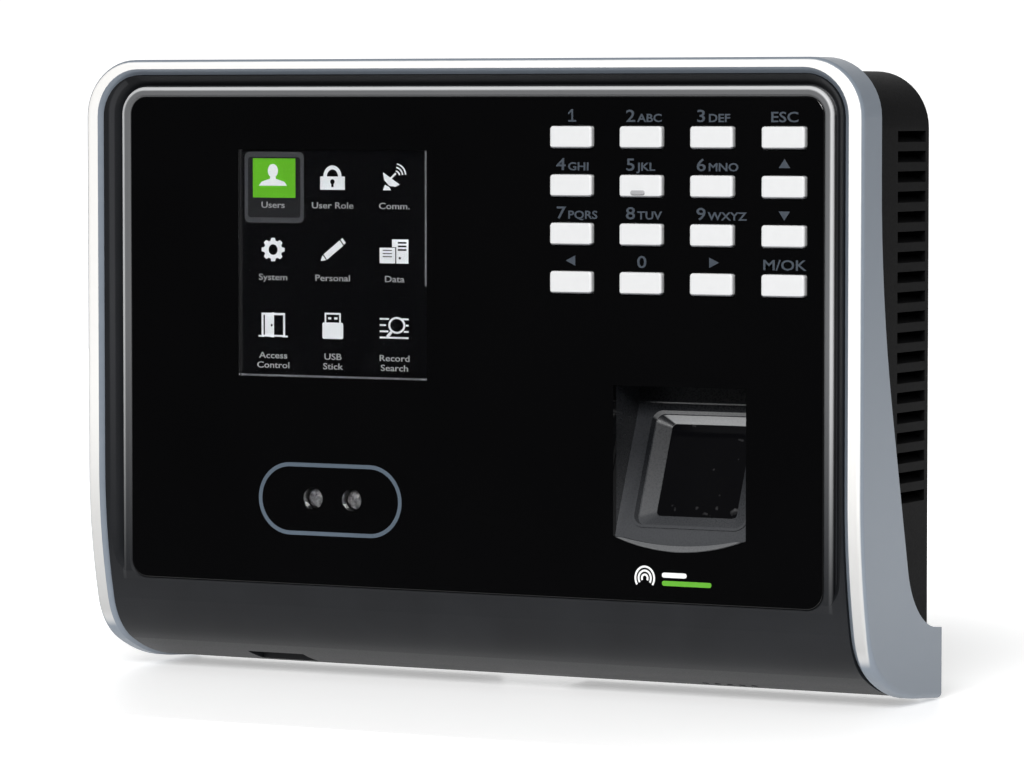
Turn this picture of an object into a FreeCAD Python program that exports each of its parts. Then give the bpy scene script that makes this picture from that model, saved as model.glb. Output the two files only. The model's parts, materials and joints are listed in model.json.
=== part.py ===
"""Wall-mounted fingerprint and face terminal, as an assembly of separate solids.

Row frame, in millimetres: X to the right as seen by a person facing the terminal, Y into the wall, Z up.
The origin is the centre of the wall plate's bolt pattern, on the wall's surface, so the terminal faces -Y.
"""
import FreeCAD
import Part
import math
import os

Vector = FreeCAD.Vector

# ---- driving dimensions ----------------------------------------------------------------------------
WIDTH = 196.0           # over the silver side trim
TOP_Z = 70.5            # top of the trim
RIM_Y = -44.0           # front of the trim's rim
SKIRT_BACK_Y = -0.4     # back edge of the trim's skirt, just clear of the wall
TRIM_WALL = 1.6
TRIM_TOP_WALL = 2.4
FLANGE_DEPTH = 3.0      # thickness of the trim's front flange, measured back from its face
FLANGE_SIDE = 4.6       # width of that flange on the sides
FLANGE_TOP = 3.45       # and along the top
OUTER_CORNER = 13.0
TRIM_ROUND, TRIM_BEVEL = 1.3, 1.3       # the rim's outer edge is rounded and its inner edge bevelled

PANEL_Y = -41.0         # front of the gloss panel
PANEL_W, PANEL_H, PANEL_R = 175.2, 110.6, 4.0
PANEL_T = 1.5
PANEL_Z = 6.65          # height of the panel's centre
TAPE_T = 0.2            # double-sided tape between the panel and its seat
SEAT_Y = PANEL_Y + PANEL_T + TAPE_T
FACE_T = 2.0            # the bezel's wall behind the panel
FACE_BACK_Y = SEAT_Y + FACE_T
FIT = 0.1               # gap around a piece that is set into another
LIP_W = 2.4             # raised lip around the panel
LIP_Y = -41.35
LIP_R, LIP_ROUND = 6.5, 0.8
DISH_TOP_R, DISH_FLOOR_R = 9.0, 6.8     # corners of the dish at the trim and at its floor
DISH_LOW = 3.4          # the dish runs out this far below the panel
SEAT_BEVEL = 0.9        # bevel round the panel's seat
WINDOW_CLEAR = 2.0      # the opening behind the display window is larger by this all round
CAMERA_SLOT_W, CAMERA_SLOT_H = 30.0, 12.0
CHANNEL_Y = -39.7       # floor of the channel between the lip and the trim

COVER_X = 95.8          # half-width of the rear cover
COVER_TOP = 67.6
COVER_BACK_Y = -2.8
COVER_R = 12.5
COVER_EDGE = 1.0        # rounding of the cover's back edge
WALL_T = 2.2            # wall of the bezel and the rear cover
PART_Y = -36.0          # the bezel meets the rear cover here
CHIN_PART_Y = -17.0     # and here, below CHIN_PART_Z
CHIN_PART_Z = -48.0
CHIN_X = 91.0           # half-width of the space inside the chin
CHIN_DROP = 4.0         # that space starts this far below the panel
CHIN_WALL = 3.0

# front profile, from the top down: a straight face, then three arcs that roll it under to the wall
STRAIGHT_END_Z = -23.35
ROLL = ((130.0, 13.6), (16.0, 48.4), (50.0, 23.0))      # (radius, degrees turned)

# rear edge of the trim's side band, from the top down
BAND_TOP_Y = -34.1
BAND_STRAIGHT_END_Z = 44.45
BAND_CURVE = (209.0, 14.0)
BAND_STRAIGHT = 36.4
BAND_SWEEP = (18.0, 72.0)

VENT_COUNT, VENT_PITCH = 19, 4.38
VENT_TOP_Z = 54.5       # top edge of the first louvre
VENT_MOUTH, VENT_SLIT = 2.7, 1.0        # a louvre's height outside and inside
VENT_Y0, VENT_Y1 = -20.5, -5.4

# display
DISPLAY_X, DISPLAY_Z, DISPLAY_W, DISPLAY_H = -34.3, PANEL_Z + 17.6, 49.0, 51.6
DISPLAY_RECESS = 0.05

# keypad
KEY_NAMES = (
    ("key_1", "key_2", "key_3", "key_esc"),
    ("key_4", "key_5", "key_6", "key_up"),
    ("key_7", "key_8", "key_9", "key_down"),
    ("key_left", "key_0", "key_right", "key_ok"),
)
KEY_X0, KEY_PITCH_X = 26.83, 17.13
KEY_Z0, KEY_PITCH_Z = PANEL_Z + 46.45, 10.63
KEY_W, KEY_H, KEY_R = 10.3, 4.9, 0.7
KEY_ROUND = 0.5         # rounding of a key's front edge
KEY_PROUD = 1.0
KEY_GAP = 0.25
KEY_TRAVEL = 0.8
KEY_FLANGE_W, KEY_FLANGE_H, KEY_FLANGE_T = 13.0, 7.2, 1.0
KEY_STEM_R, KEY_STEM_L = 1.5, 1.2
NUB_X, NUB_Z, NUB_W, NUB_H, NUB_UP = -0.5, -1.4, 3.4, 1.0, 0.4       # the touch mark on key 5
REST_GAP = 0.1          # between the key's flange and the wall that holds it in

# fingerprint sensor
SENSOR_X, SENSOR_W = 53.1, 32.2
SENSOR_TOP_Z, SENSOR_SIDE_Z, SENSOR_SAG = PANEL_Z - 7.9, PANEL_Z - 41.0, 3.1
SENSOR_TILT = 23.0      # the finger rest leans back by this much, in degrees
SENSOR_LIP = 0.8        # how far the surround's lower lip stands out of the panel
SENSOR_LIP_W = 1.5      # width of that lip
SENSOR_LIP_ROUND = 0.5
SENSOR_WALL = 1.2       # wall of the surround, behind the panel
SENSOR_FRONT_Y = PANEL_Y + PANEL_T + 0.1
SURROUND_BACK_Y = -23.6
REST_SET_BACK = 0.8     # the finger rest's lower edge stands this far behind the panel's face
SENSOR_BOARD_W, SENSOR_BOARD_H = 22.0, 36.0
WELL_X = 54.5           # centre of the sunk frame and of the glass
FRAME_W, FRAME_LOW, FRAME_HIGH = 26.4, 3.0, 29.0        # heights are measured up the finger rest
GLASS_W, GLASS_T, GLASS_LOW, GLASS_HIGH = 19.4, 2.0, 5.9, 27.3
FRAME_STEP, GLASS_STEP = 1.1, 2.8       # depths below the finger rest
LEDGE_LOW, LEDGE_UP = 31.1, 1.0         # the raised ledge along the top
RIDGE_W, RIDGE_H = 0.5, 0.35            # the ridge round the sunk frame

# face camera
CAMERA_Z = PANEL_Z - 35.6
CAMERA_XS = (-39.3, -29.2)
CAMERA_WINDOW_R = 2.5
RING_X, RING_Z = -34.9, PANEL_Z - 35.75
RING_W, RING_H, RING_LINE = 37.3, 16.5, 0.95
RING_T = 0.5

# electronics
BOARD_Y, BOARD_T = -22.0, 1.6
BOARD_W, BOARD_H, BOARD_Z = 150.0, 96.0, 6.0
KEY_BOARD_T = 1.2
BAY_W, BAY_H, BAY_Z = 104.0, 30.0, -18.0
BAY_FLOOR_Y, BAY_FLOOR_T = -17.0, 2.0
BAY_R = 3.0             # the tray's outer corners
BAY_GAP = 0.3           # round each connector, where it comes through the bay's floor

# wall plate
PLATE_W, PLATE_H, PLATE_T = 150.0, 110.0, 1.5
POCKET_Y = -5.0         # the cover's back is sunk to here, behind the bolt heads
POCKET_X, POCKET_LOW, POCKET_HIGH = 73.0, -50.0, 50.0
PLATE_WINDOW_H = 34.0
BOLT_SPACING_X, BOLT_SPACING_Z, BOLT_R = 124.0, 72.0, 2.2
HOOK_XS, HOOK_Z, HOOK_W, HOOK_UP = (-58.0, 58.0), 20.0, 12.0, 5.5
LIFT = 8.0              # the terminal lifts this far to come off its hooks
TAB_Z, TAB_W, TAB_Y0 = -62.0, 18.0, -13.5
SCREW_Y, SCREW_R, SCREW_HEAD_R, SCREW_HEAD_T = -9.0, 1.5, 3.0, 2.6
TAMPER_X, TAMPER_Z, TAMPER_R, TAMPER_TRAVEL = 30.0, 36.0, 2.0, 2.0
TAMPER_TIP_Y = -0.3     # the plunger's tip, just clear of the wall
RESET_X, RESET_Z, RESET_R = 45.5, BAY_Z + 10.0, 1.2

# underside: USB socket, speaker and its grille
USB_X, USB_Y, USB_W, USB_D, USB_L = -57.5, -23.6, 14.4, 6.8, 16.0
USB_MOUTH_Z = -64.6
USB_SHELL, USB_GAP = 0.6, 0.2
SPEAKER_X, SPEAKER_Y, SPEAKER_Z, SPEAKER_R = 56.0, -25.0, -59.6, 8.2
SPEAKER_RIM = 1.2
GRILLE_R, GRILLE_PITCH, GRILLE_COUNT = 0.8, 3.0, 5
GRILLE_Y = SPEAKER_Y + 4.0

# screws, with plain rods for threads
CASE_SCREW_X, CASE_SCREW_ZS = 84.0, (61.5, -4.0, -40.0)
CASE_BOSS_R, CASE_POST_R = 3.2, 4.6
CASE_SCREW_R, CASE_HOLE_R, CASE_PASS_R = 1.2, 1.25, 1.7
CASE_HEAD_R, CASE_HEAD_T, CASE_WELL_R = 2.7, 1.8, 3.0
CASE_SEAT_Y = -12.0     # where the case screws' heads sit
BOSS_L = 6.0            # the bezel's bosses reach this far behind the parting plane
BOARD_SCREW_X, BOARD_SCREW_Z = 68.0, 41.0
BOARD_POST_R, BOARD_SCREW_R, BOARD_HOLE_R = 3.2, 0.95, 1.0
BOARD_HEAD_R, BOARD_HEAD_T = 2.6, 1.6
SLOT_HALF_W, SLOT_DEPTH = 0.3, 0.7      # the cross in a screw's head
TOUCH = 0.02            # pieces that rest on each other are kept this far apart

FAR = 300.0             # longer than anything here, for cutting


# ---- helpers ---------------------------------------------------------------------------------------
def box(x0, x1, y0, y1, z0, z1):
    return Part.makeBox(x1 - x0, y1 - y0, z1 - z0, Vector(x0, y0, z0))


def plate(cx, cz, w, h, r, y0, y1):
    """A rounded rectangle in XZ, from y0 to y1."""
    solid = box(cx - w / 2, cx + w / 2, y0, y1, cz - h / 2, cz + h / 2)
    if r <= 0:
        return solid
    return solid.makeFillet(r, edges_along(solid, Vector(0, 1, 0)))


def edges_along(shape, direction):
    found = []
    for edge in shape.Edges:
        if edge.Curve.TypeId != "Part::GeomLine":
            continue
        a, b = (v.Point for v in edge.Vertexes)
        if (b - a).cross(direction).Length < 1e-6 * (b - a).Length:
            found.append(edge)
    return found


def rod_y(cx, cz, r, y0, y1):
    return Part.makeCylinder(r, y1 - y0, Vector(cx, y0, cz), Vector(0, 1, 0))


def rod_z(cx, cy, r, z0, z1):
    return Part.makeCylinder(r, z1 - z0, Vector(cx, cy, z0), Vector(0, 0, 1))


def stadium(cx, cz, w, h, y0, y1):
    return plate(cx, cz, w, h, h / 2 - 1e-3, y0, y1)


def rounded_wire(cx, cz, w, h, r, y):
    """A rounded rectangle's wire at height y, for lofts."""
    x0, x1, z0, z1 = cx - w / 2, cx + w / 2, cz - h / 2, cz + h / 2
    k = r * (1 - math.sqrt(0.5))
    corners = (
        ((x1 - r, z0), (x1 - k, z0 + k), (x1, z0 + r)),
        ((x1, z1 - r), (x1 - k, z1 - k), (x1 - r, z1)),
        ((x0 + r, z1), (x0 + k, z1 - k), (x0, z1 - r)),
        ((x0, z0 + r), (x0 + k, z0 + k), (x0 + r, z0)),
    )
    edges, last = [], None
    for start, middle, end in corners:
        p, q, s = (Vector(x, y, z) for x, z in (start, middle, end))
        if last is not None:
            edges.append(Part.makeLine(last, p))
        edges.append(Part.Arc(p, q, s).toShape())
        last = s
    edges.append(Part.makeLine(last, edges[0].Vertexes[0].Point))
    return Part.Wire(edges)


def funnel(front, back):
    """A solid between two rounded rectangles, each (cx, cz, w, h, r, y)."""
    return Part.makeLoft([rounded_wire(*front), rounded_wire(*back)], True, True)


def side_path(start, heading, steps):
    """Tangent lines and arcs in the YZ plane. heading is in degrees from straight down towards +Y.

    Each step is ("line", length) or ("arc", radius, turn); returns the edges and the end point (y, z)."""
    y, z = start
    a = math.radians(heading)
    edges = []
    for step in steps:
        p = Vector(0, y, z)
        if step[0] == "line":
            y, z = y + step[1] * math.sin(a), z - step[1] * math.cos(a)
            edges.append(Part.makeLine(p, Vector(0, y, z)))
            continue
        radius, turn = step[1], math.radians(step[2])
        cy, cz = y + radius * math.cos(a), z + radius * math.sin(a)
        half = a + turn / 2
        middle = Vector(0, cy - radius * math.cos(half), cz - radius * math.sin(half))
        a += turn
        y, z = cy - radius * math.cos(a), cz - radius * math.sin(a)
        edges.append(Part.Arc(p, middle, Vector(0, y, z)).toShape())
    return edges, (y, z)


def side_prism(edges, closing, half_width):
    """Closes a side path through the points in closing and sweeps it along X."""
    first, last = edges[0].Vertexes[0].Point, edges[-1].Vertexes[-1].Point
    points = [last] + [Vector(0, y, z) for y, z in closing] + [first]
    lines = [Part.makeLine(p, q) for p, q in zip(points, points[1:])]
    face = Part.Face(Part.Wire(edges + lines))
    face.translate(Vector(-half_width, 0, 0))
    return face.extrude(Vector(2 * half_width, 0, 0))


def behind_front(inset, back_y=0.0):
    """Everything between the front profile, moved in by inset, and the plane back_y."""
    steps = [("line", TOP_Z + 10 - STRAIGHT_END_Z)]
    steps += [("arc", radius - inset, turn) for radius, turn in ROLL]
    heading = math.radians(sum(turn for _, turn in ROLL))
    edges, (y, z) = side_path((RIM_Y + inset, TOP_Z + 10), 0.0, steps)
    run = (back_y - y) / math.sin(heading)
    edges.append(Part.makeLine(Vector(0, y, z), Vector(0, back_y, z - run * math.cos(heading))))
    return side_prism(edges, [(back_y, TOP_Z + 10)], FAR)


def band_region():
    """Everything in front of the rear edge of the trim's side band."""
    steps = [
        ("line", TOP_Z + 10 - BAND_STRAIGHT_END_Z),
        ("arc", *BAND_CURVE),
        ("line", BAND_STRAIGHT),
        ("arc", *BAND_SWEEP),
    ]
    edges, (y, z) = side_path((BAND_TOP_Y, TOP_Z + 10), 0.0, steps)
    heading = math.radians(BAND_CURVE[1] + BAND_SWEEP[1])
    run = (SKIRT_BACK_Y - y) / math.sin(heading)
    z_back = z - run * math.cos(heading)
    edges.append(Part.makeLine(Vector(0, y, z), Vector(0, SKIRT_BACK_Y, z_back)))
    closing = [(SKIRT_BACK_Y, -TOP_Z - 20), (RIM_Y - 10, -TOP_Z - 20), (RIM_Y - 10, TOP_Z + 10)]
    return side_prism(edges, closing, FAR)


def arch(half_width, top, r, y0, y1):
    """A tall rounded outline whose lower end runs out below the terminal."""
    low = -TOP_Z - 40
    return plate(0, (top + low) / 2, 2 * half_width, top - low, r, y0, y1)


def one_solid(shape):
    solids = sorted(shape.Solids, key=lambda s: -s.Volume)
    return solids[0]


def smooth(shape, edges, r):
    """Fillets the edges, or leaves the shape alone where the kernel can't."""
    try:
        made = shape.makeFillet(r, edges)
        if made.isValid() and made.Volume > 0:
            return made
    except Exception as problem:
        print("fillet left out:", problem)
    return shape


# ---- outer shells ----------------------------------------------------------------------------------
def core(gap=FIT):
    """The bezel and rear cover together, as one block: the narrow front stands in the trim's flange."""
    wide = arch(COVER_X, COVER_TOP, COVER_R, RIM_Y, COVER_BACK_Y)
    wide = wide.common(behind_front(FLANGE_DEPTH + gap, COVER_BACK_Y))
    narrow_x = WIDTH / 2 - FLANGE_SIDE - gap
    narrow_top = TOP_Z - FLANGE_TOP - gap
    narrow = arch(narrow_x, narrow_top, OUTER_CORNER - FLANGE_TOP, RIM_Y - 1, COVER_BACK_Y)
    block = wide.fuse(narrow.common(behind_front(0.4, COVER_BACK_Y))).removeSplitter()
    back_edges = [e for e in block.Edges if on_cover_outline(e)]
    return smooth(block, back_edges, COVER_EDGE)


def on_cover_outline(edge):
    """True for the top and side edges of the cover's flat back."""
    p = edge.CenterOfMass
    return abs(p.y - COVER_BACK_Y) < 0.01 and p.z > -TOP_Z + 5


def cavity():
    """The free space inside the bezel and rear cover."""
    inside = arch(COVER_X - WALL_T, COVER_TOP - WALL_T, COVER_R - WALL_T, FACE_BACK_Y, COVER_BACK_Y - WALL_T)
    inside = inside.common(behind_front(FLANGE_DEPTH + WALL_T, 0))
    panel_low = PANEL_Z - PANEL_H / 2
    chin = box(-CHIN_X, CHIN_X, RIM_Y, COVER_BACK_Y - WALL_T, -TOP_Z - 20, panel_low - CHIN_DROP)
    chin = chin.common(behind_front(CHIN_WALL, 0))
    return inside.fuse(chin)


def rear_side():
    """The half-space that belongs to the rear cover."""
    upper = box(-FAR, FAR, PART_Y, FAR, CHIN_PART_Z, FAR)
    lower = box(-FAR, FAR, CHIN_PART_Y, FAR, -FAR, CHIN_PART_Z)
    return upper.fuse(lower)


def side_trim():
    trim = arch(WIDTH / 2, TOP_Z, OUTER_CORNER, RIM_Y, SKIRT_BACK_Y)
    trim = trim.common(behind_front(0.0, SKIRT_BACK_Y)).common(band_region())
    hollow = arch(WIDTH / 2 - TRIM_WALL, TOP_Z - TRIM_TOP_WALL, OUTER_CORNER - 2, RIM_Y, FAR)
    trim = trim.cut(hollow.common(behind_front(FLANGE_DEPTH, FAR)))
    flange_x, flange_top = WIDTH / 2 - FLANGE_SIDE, TOP_Z - FLANGE_TOP
    trim = trim.cut(arch(flange_x, flange_top, OUTER_CORNER - FLANGE_TOP, RIM_Y - 1, FAR))
    trim = one_solid(trim.removeSplitter())
    outer, inner = [], []
    for edge in trim.Edges:
        middle = edge.valueAt((edge.FirstParameter + edge.LastParameter) / 2)
        on_face = abs(middle.y - front_y(middle.z)) < 0.02
        at_side = abs(abs(middle.x) - WIDTH / 2) < 0.01 or outside_corner(middle)
        at_flange = abs(abs(middle.x) - flange_x) < 0.01 or abs(middle.z - flange_top) < 0.01
        at_flange = at_flange or inside_corner(middle, flange_x, flange_top)
        if on_face and at_side and edge.Length > 0.5:
            outer.append(edge)
        elif on_face and at_flange and edge.Length > 0.5:
            inner.append(edge)
    trim = smooth(trim, outer, TRIM_ROUND)
    inner = [e for e in trim.Edges if any(same_edge(e, f) for f in inner)]
    try:
        trim = trim.makeChamfer(TRIM_BEVEL, inner)
    except Exception as problem:
        print("chamfer left out:", problem)
    return trim


def same_edge(a, b):
    return (a.CenterOfMass - b.CenterOfMass).Length < 0.05 and abs(a.Length - b.Length) < 0.1


def front_y(z):
    """The front profile's y at height z, for the straight face and the three arcs."""
    if z >= STRAIGHT_END_Z:
        return RIM_Y
    y, edge_z, a = RIM_Y, STRAIGHT_END_Z, 0.0
    for radius, turn in ROLL:
        end = a + math.radians(turn)
        next_z = edge_z - radius * (math.sin(end) - math.sin(a))
        if z >= next_z:
            here = math.asin(math.sin(a) + (edge_z - z) / radius)
            return y + radius * (math.cos(a) - math.cos(here))
        y += radius * (math.cos(a) - math.cos(end))
        edge_z, a = next_z, end
    return y + (edge_z - z) * math.tan(a)


def outside_corner(p):
    dx, dz = abs(p.x) - (WIDTH / 2 - OUTER_CORNER), p.z - (TOP_Z - OUTER_CORNER)
    on_arc = dx >= -0.1 and dz >= -0.1 and abs(math.hypot(dx, dz) - OUTER_CORNER) < 0.05
    return on_arc or abs(p.z - TOP_Z) < 0.01


def inside_corner(p, flange_x, flange_top):
    r = OUTER_CORNER - FLANGE_TOP
    dx, dz = abs(p.x) - (flange_x - r), p.z - (flange_top - r)
    return dx >= -0.1 and dz >= -0.1 and abs(math.hypot(dx, dz) - r) < 0.05


def front_bezel():
    shell = core().cut(cavity()).cut(rear_side())
    panel_low = PANEL_Z - PANEL_H / 2
    # the dish that runs down from the trim's rim to the lip around the panel
    lip_w, lip_top = PANEL_W + 2 * LIP_W, PANEL_Z + PANEL_H / 2 + LIP_W
    front_w = WIDTH - 2 * FLANGE_SIDE
    front_top, low_front = TOP_Z - FLANGE_TOP, panel_low - DISH_LOW
    floor_top = lip_top + 0.3
    dish = funnel(
        (0, (front_top + low_front) / 2, front_w + 0.4, front_top - low_front + 0.2, DISH_TOP_R, RIM_Y - 0.3),
        (0, (floor_top + panel_low) / 2, lip_w + 0.6, floor_top - panel_low, DISH_FLOOR_R, CHANNEL_Y),
    )
    lip_low = panel_low - 20
    lip = plate(0, (lip_top + lip_low) / 2, lip_w, lip_top - lip_low, LIP_R, LIP_Y, SEAT_Y)
    lip = smooth(lip, [e for e in lip.Edges if abs(e.CenterOfMass.y - LIP_Y) < 0.01], LIP_ROUND)
    shell = shell.cut(dish.cut(lip))
    seat = plate(0, PANEL_Z, PANEL_W + 2 * FIT, PANEL_H + 2 * FIT, PANEL_R + FIT, RIM_Y - 2, SEAT_Y)
    shell = shell.cut(seat)
    # a bevel round the seat's mouth
    wide, high = PANEL_W + 2 * SEAT_BEVEL, PANEL_H + 2 * SEAT_BEVEL
    shell = shell.cut(funnel(
        (0, PANEL_Z, wide, high, PANEL_R + SEAT_BEVEL, PANEL_Y + FIT - SEAT_BEVEL + FIT),
        (0, PANEL_Z, PANEL_W + 2 * FIT, PANEL_H + 2 * FIT, PANEL_R + FIT, PANEL_Y + FIT)))
    # openings behind the panel
    wide, high = DISPLAY_W + 2 * WINDOW_CLEAR, DISPLAY_H + 2 * WINDOW_CLEAR
    shell = shell.cut(plate(DISPLAY_X, DISPLAY_Z, wide, high, 1.0, SEAT_Y - 1, FACE_BACK_Y + 1))
    for _, x, z in keys():
        hole = plate(x, z, KEY_W + 2 * KEY_GAP, KEY_H + 2 * KEY_GAP, KEY_R, SEAT_Y - 1, FACE_BACK_Y + 1)
        shell = shell.cut(hole)
    shell = shell.cut(stadium(RING_X, RING_Z, CAMERA_SLOT_W, CAMERA_SLOT_H, SEAT_Y - 1, FACE_BACK_Y + 1))
    shell = shell.cut(sensor_outline(SENSOR_WALL + 0.15, SEAT_Y - 1, FACE_BACK_Y + 1))
    # bosses for the case screws
    for x, z in case_screw_places():
        shell = shell.fuse(rod_y(x, z, CASE_BOSS_R, FACE_BACK_Y - 0.5, PART_Y + BOSS_L))
        shell = shell.cut(rod_y(x, z, CASE_HOLE_R, FACE_BACK_Y + 1.0, PART_Y + BOSS_L + 1))
    # a seat for the speaker, then its grille and the USB port in the underside
    seat = rod_z(SPEAKER_X, SPEAKER_Y, SPEAKER_R, -TOP_Z - 5, SPEAKER_Z - TOUCH)
    seat = seat.cut(rod_z(SPEAKER_X, SPEAKER_Y, SPEAKER_R - SPEAKER_RIM, -TOP_Z - 6, SPEAKER_Z + 1))
    shell = shell.fuse(seat.common(core()))
    for i in range(GRILLE_COUNT):
        x = SPEAKER_X + GRILLE_PITCH * (i - (GRILLE_COUNT - 1) / 2)
        shell = shell.cut(rod_z(x, GRILLE_Y, GRILLE_R, -TOP_Z - 5, SPEAKER_Z + 4))
    shell = shell.cut(usb_opening())
    return one_solid(shell.removeSplitter())




def usb_opening():
    half_w, half_d = USB_W / 2 + USB_GAP, USB_D / 2 + USB_GAP
    low, high = -TOP_Z - 15, USB_MOUTH_Z + 9
    return box(USB_X - half_w, USB_X + half_w, USB_Y - half_d, USB_Y + half_d, low, high)


def case_screw_places():
    return [(sx * CASE_SCREW_X, z) for sx in (-1, 1) for z in CASE_SCREW_ZS]


def hook_slot(x):
    """A slot in the rear cover that a hook enters, tall enough to lift off it."""
    low = HOOK_Z - LIFT - 1.0
    high = HOOK_Z + PLATE_T + 0.4
    return box(x - HOOK_W / 2 - 1, x + HOOK_W / 2 + 1, POCKET_Y - WALL_T - 1, 0, low, high)


def louvre(side, top):
    """A slot through the cover's side wall whose lower face slopes out and down."""
    outer, inner = COVER_X + 0.5, COVER_X - WALL_T - 0.5
    outline = ((outer, top), (inner, top), (inner, top - VENT_SLIT), (outer, top - VENT_MOUTH), (outer, top))
    wire = Part.makePolygon([Vector(side * x, VENT_Y0, z) for x, z in outline])
    return Part.Face(wire).extrude(Vector(0, VENT_Y1 - VENT_Y0, 0))


def bay_tray(grow, y0, y1):
    return plate(0, BAY_Z, BAY_W + 2 * (WALL_T + grow), BAY_H + 2 * (WALL_T + grow), BAY_R, y0, y1)


def connector_bay():
    """The open tray round the connectors, a moulding of its own welded into the cover's back."""
    tray = bay_tray(0.0, BAY_FLOOR_Y - BAY_FLOOR_T, POCKET_Y)
    tray = tray.cut(plate(0, BAY_Z, BAY_W, BAY_H, BAY_R - WALL_T, BAY_FLOOR_Y, 1))
    for x, z, w, h in connector_places().values():
        half_w, half_h = w / 2 + BAY_GAP, h / 2 + BAY_GAP
        tray = tray.cut(box(x - half_w, x + half_w, BAY_FLOOR_Y - 3, 0, z - half_h, z + half_h))
    return one_solid(tray.cut(rod_y(RESET_X, RESET_Z, RESET_R + 0.2, BAY_FLOOR_Y - 3, 0)))


def rear_cover():
    shell = core().cut(cavity()).common(rear_side())
    # the pocket that clears the bolt heads, sunk into the back, and the window that takes the connector tray
    inner = box(-POCKET_X - WALL_T, POCKET_X + WALL_T, POCKET_Y - WALL_T, COVER_BACK_Y,
                POCKET_LOW - WALL_T, POCKET_HIGH + WALL_T)
    shell = shell.fuse(inner)
    shell = shell.cut(box(-POCKET_X, POCKET_X, POCKET_Y, 1, POCKET_LOW, POCKET_HIGH))
    shell = shell.cut(bay_tray(TOUCH, BAY_FLOOR_Y - 3, 1))
    # louvres down both sides
    for side in (-1, 1):
        for i in range(VENT_COUNT):
            shell = shell.cut(louvre(side, VENT_TOP_Z - i * VENT_PITCH))
    for x in HOOK_XS:
        shell = shell.cut(hook_slot(x))
    # screw posts, each with a counterbore in the back
    for x, z in case_screw_places():
        if z > CHIN_PART_Z:
            shell = shell.fuse(rod_y(x, z, CASE_POST_R, PART_Y + BOSS_L + FIT, COVER_BACK_Y - 0.5))
            shell = shell.cut(rod_y(x, z, CASE_PASS_R, PART_Y, 0))
            shell = shell.cut(rod_y(x, z, CASE_WELL_R, CASE_SEAT_Y, 0))
    # posts that carry the main board
    for x, z in board_screw_places():
        shell = shell.fuse(rod_y(x, z, BOARD_POST_R, BOARD_Y + BOARD_T + TOUCH, POCKET_Y - 0.5))
        shell = shell.cut(rod_y(x, z, BOARD_HOLE_R, BOARD_Y, CASE_SEAT_Y))
    # notch and boss for the locking screw
    notch = box(-TAB_W / 2 - 2, TAB_W / 2 + 2, TAB_Y0 - 1, 1, -TOP_Z - 5, TAB_Z + 1.0)
    walls = box(-TAB_W / 2 - 4, TAB_W / 2 + 4, TAB_Y0 - 3, COVER_BACK_Y, -TOP_Z - 5, TAB_Z + 3.5)
    walls = walls.common(core())
    shell = shell.fuse(walls).cut(notch)
    boss = rod_z(0, SCREW_Y, 4.5, TAB_Z + 2.0, TAB_Z + 11.0)
    shell = shell.fuse(boss).cut(rod_z(0, SCREW_Y, SCREW_R + 0.08, TAB_Z, TAB_Z + 10.0))
    # way out for the tamper plunger
    shell = shell.cut(rod_y(TAMPER_X, TAMPER_Z, TAMPER_R + 0.25, POCKET_Y - WALL_T - 1, 0))
    return one_solid(shell.removeSplitter())


# ---- front panel and what is set into it -----------------------------------------------------------
def keys():
    for row, names in enumerate(KEY_NAMES):
        for column, name in enumerate(names):
            yield name, KEY_X0 + column * KEY_PITCH_X, KEY_Z0 - row * KEY_PITCH_Z


def sensor_outline(grow, y0, y1):
    """The sensor opening: straight top and sides, and a bottom edge that bows downwards."""
    x0, x1 = SENSOR_X - SENSOR_W / 2 - grow, SENSOR_X + SENSOR_W / 2 + grow
    top, side, low = SENSOR_TOP_Z + grow, SENSOR_SIDE_Z, SENSOR_SIDE_Z - SENSOR_SAG - grow
    a, b, c, d = Vector(x0, y0, side), Vector(x0, y0, top), Vector(x1, y0, top), Vector(x1, y0, side)
    bow = Part.Arc(d, Vector(SENSOR_X, y0, low), a).toShape()
    wire = Part.Wire([Part.makeLine(a, b), Part.makeLine(b, c), Part.makeLine(c, d), bow])
    return Part.Face(wire).extrude(Vector(0, y1 - y0, 0))


def front_panel():
    sheet = plate(0, PANEL_Z, PANEL_W, PANEL_H, PANEL_R, PANEL_Y, PANEL_Y + PANEL_T)
    edges = [e for e in sheet.Edges if abs(e.CenterOfMass.y - PANEL_Y) < 0.01]
    sheet = smooth(sheet, edges, 0.25)
    low, high = PANEL_Y - 1, PANEL_Y + PANEL_T + 1
    sheet = sheet.cut(box(
        DISPLAY_X - DISPLAY_W / 2 - 0.05, DISPLAY_X + DISPLAY_W / 2 + 0.05, low, high,
        DISPLAY_Z - DISPLAY_H / 2 - 0.05, DISPLAY_Z + DISPLAY_H / 2 + 0.05))
    for _, x, z in keys():
        sheet = sheet.cut(plate(x, z, KEY_W + 2 * KEY_GAP, KEY_H + 2 * KEY_GAP, KEY_R, low, high))
    for x in CAMERA_XS:
        sheet = sheet.cut(rod_y(x, CAMERA_Z, CAMERA_WINDOW_R + 0.05, low, high))
    sheet = sheet.cut(sensor_outline(0.0, low, high))
    groove = stadium(RING_X, RING_Z, RING_W, RING_H, PANEL_Y - 1, PANEL_Y + RING_T)
    inner = stadium(RING_X, RING_Z, RING_W - 2 * RING_LINE, RING_H - 2 * RING_LINE, PANEL_Y - 2, PANEL_Y + 2)
    return sheet.cut(groove.cut(inner))


def camera_ring():
    outer = stadium(RING_X, RING_Z, RING_W - 0.04, RING_H - 0.04, PANEL_Y, PANEL_Y + RING_T - 0.02)
    inner_w, inner_h = RING_W - 2 * RING_LINE + 0.04, RING_H - 2 * RING_LINE + 0.04
    return outer.cut(stadium(RING_X, RING_Z, inner_w, inner_h, PANEL_Y - 1, PANEL_Y + 1))


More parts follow.
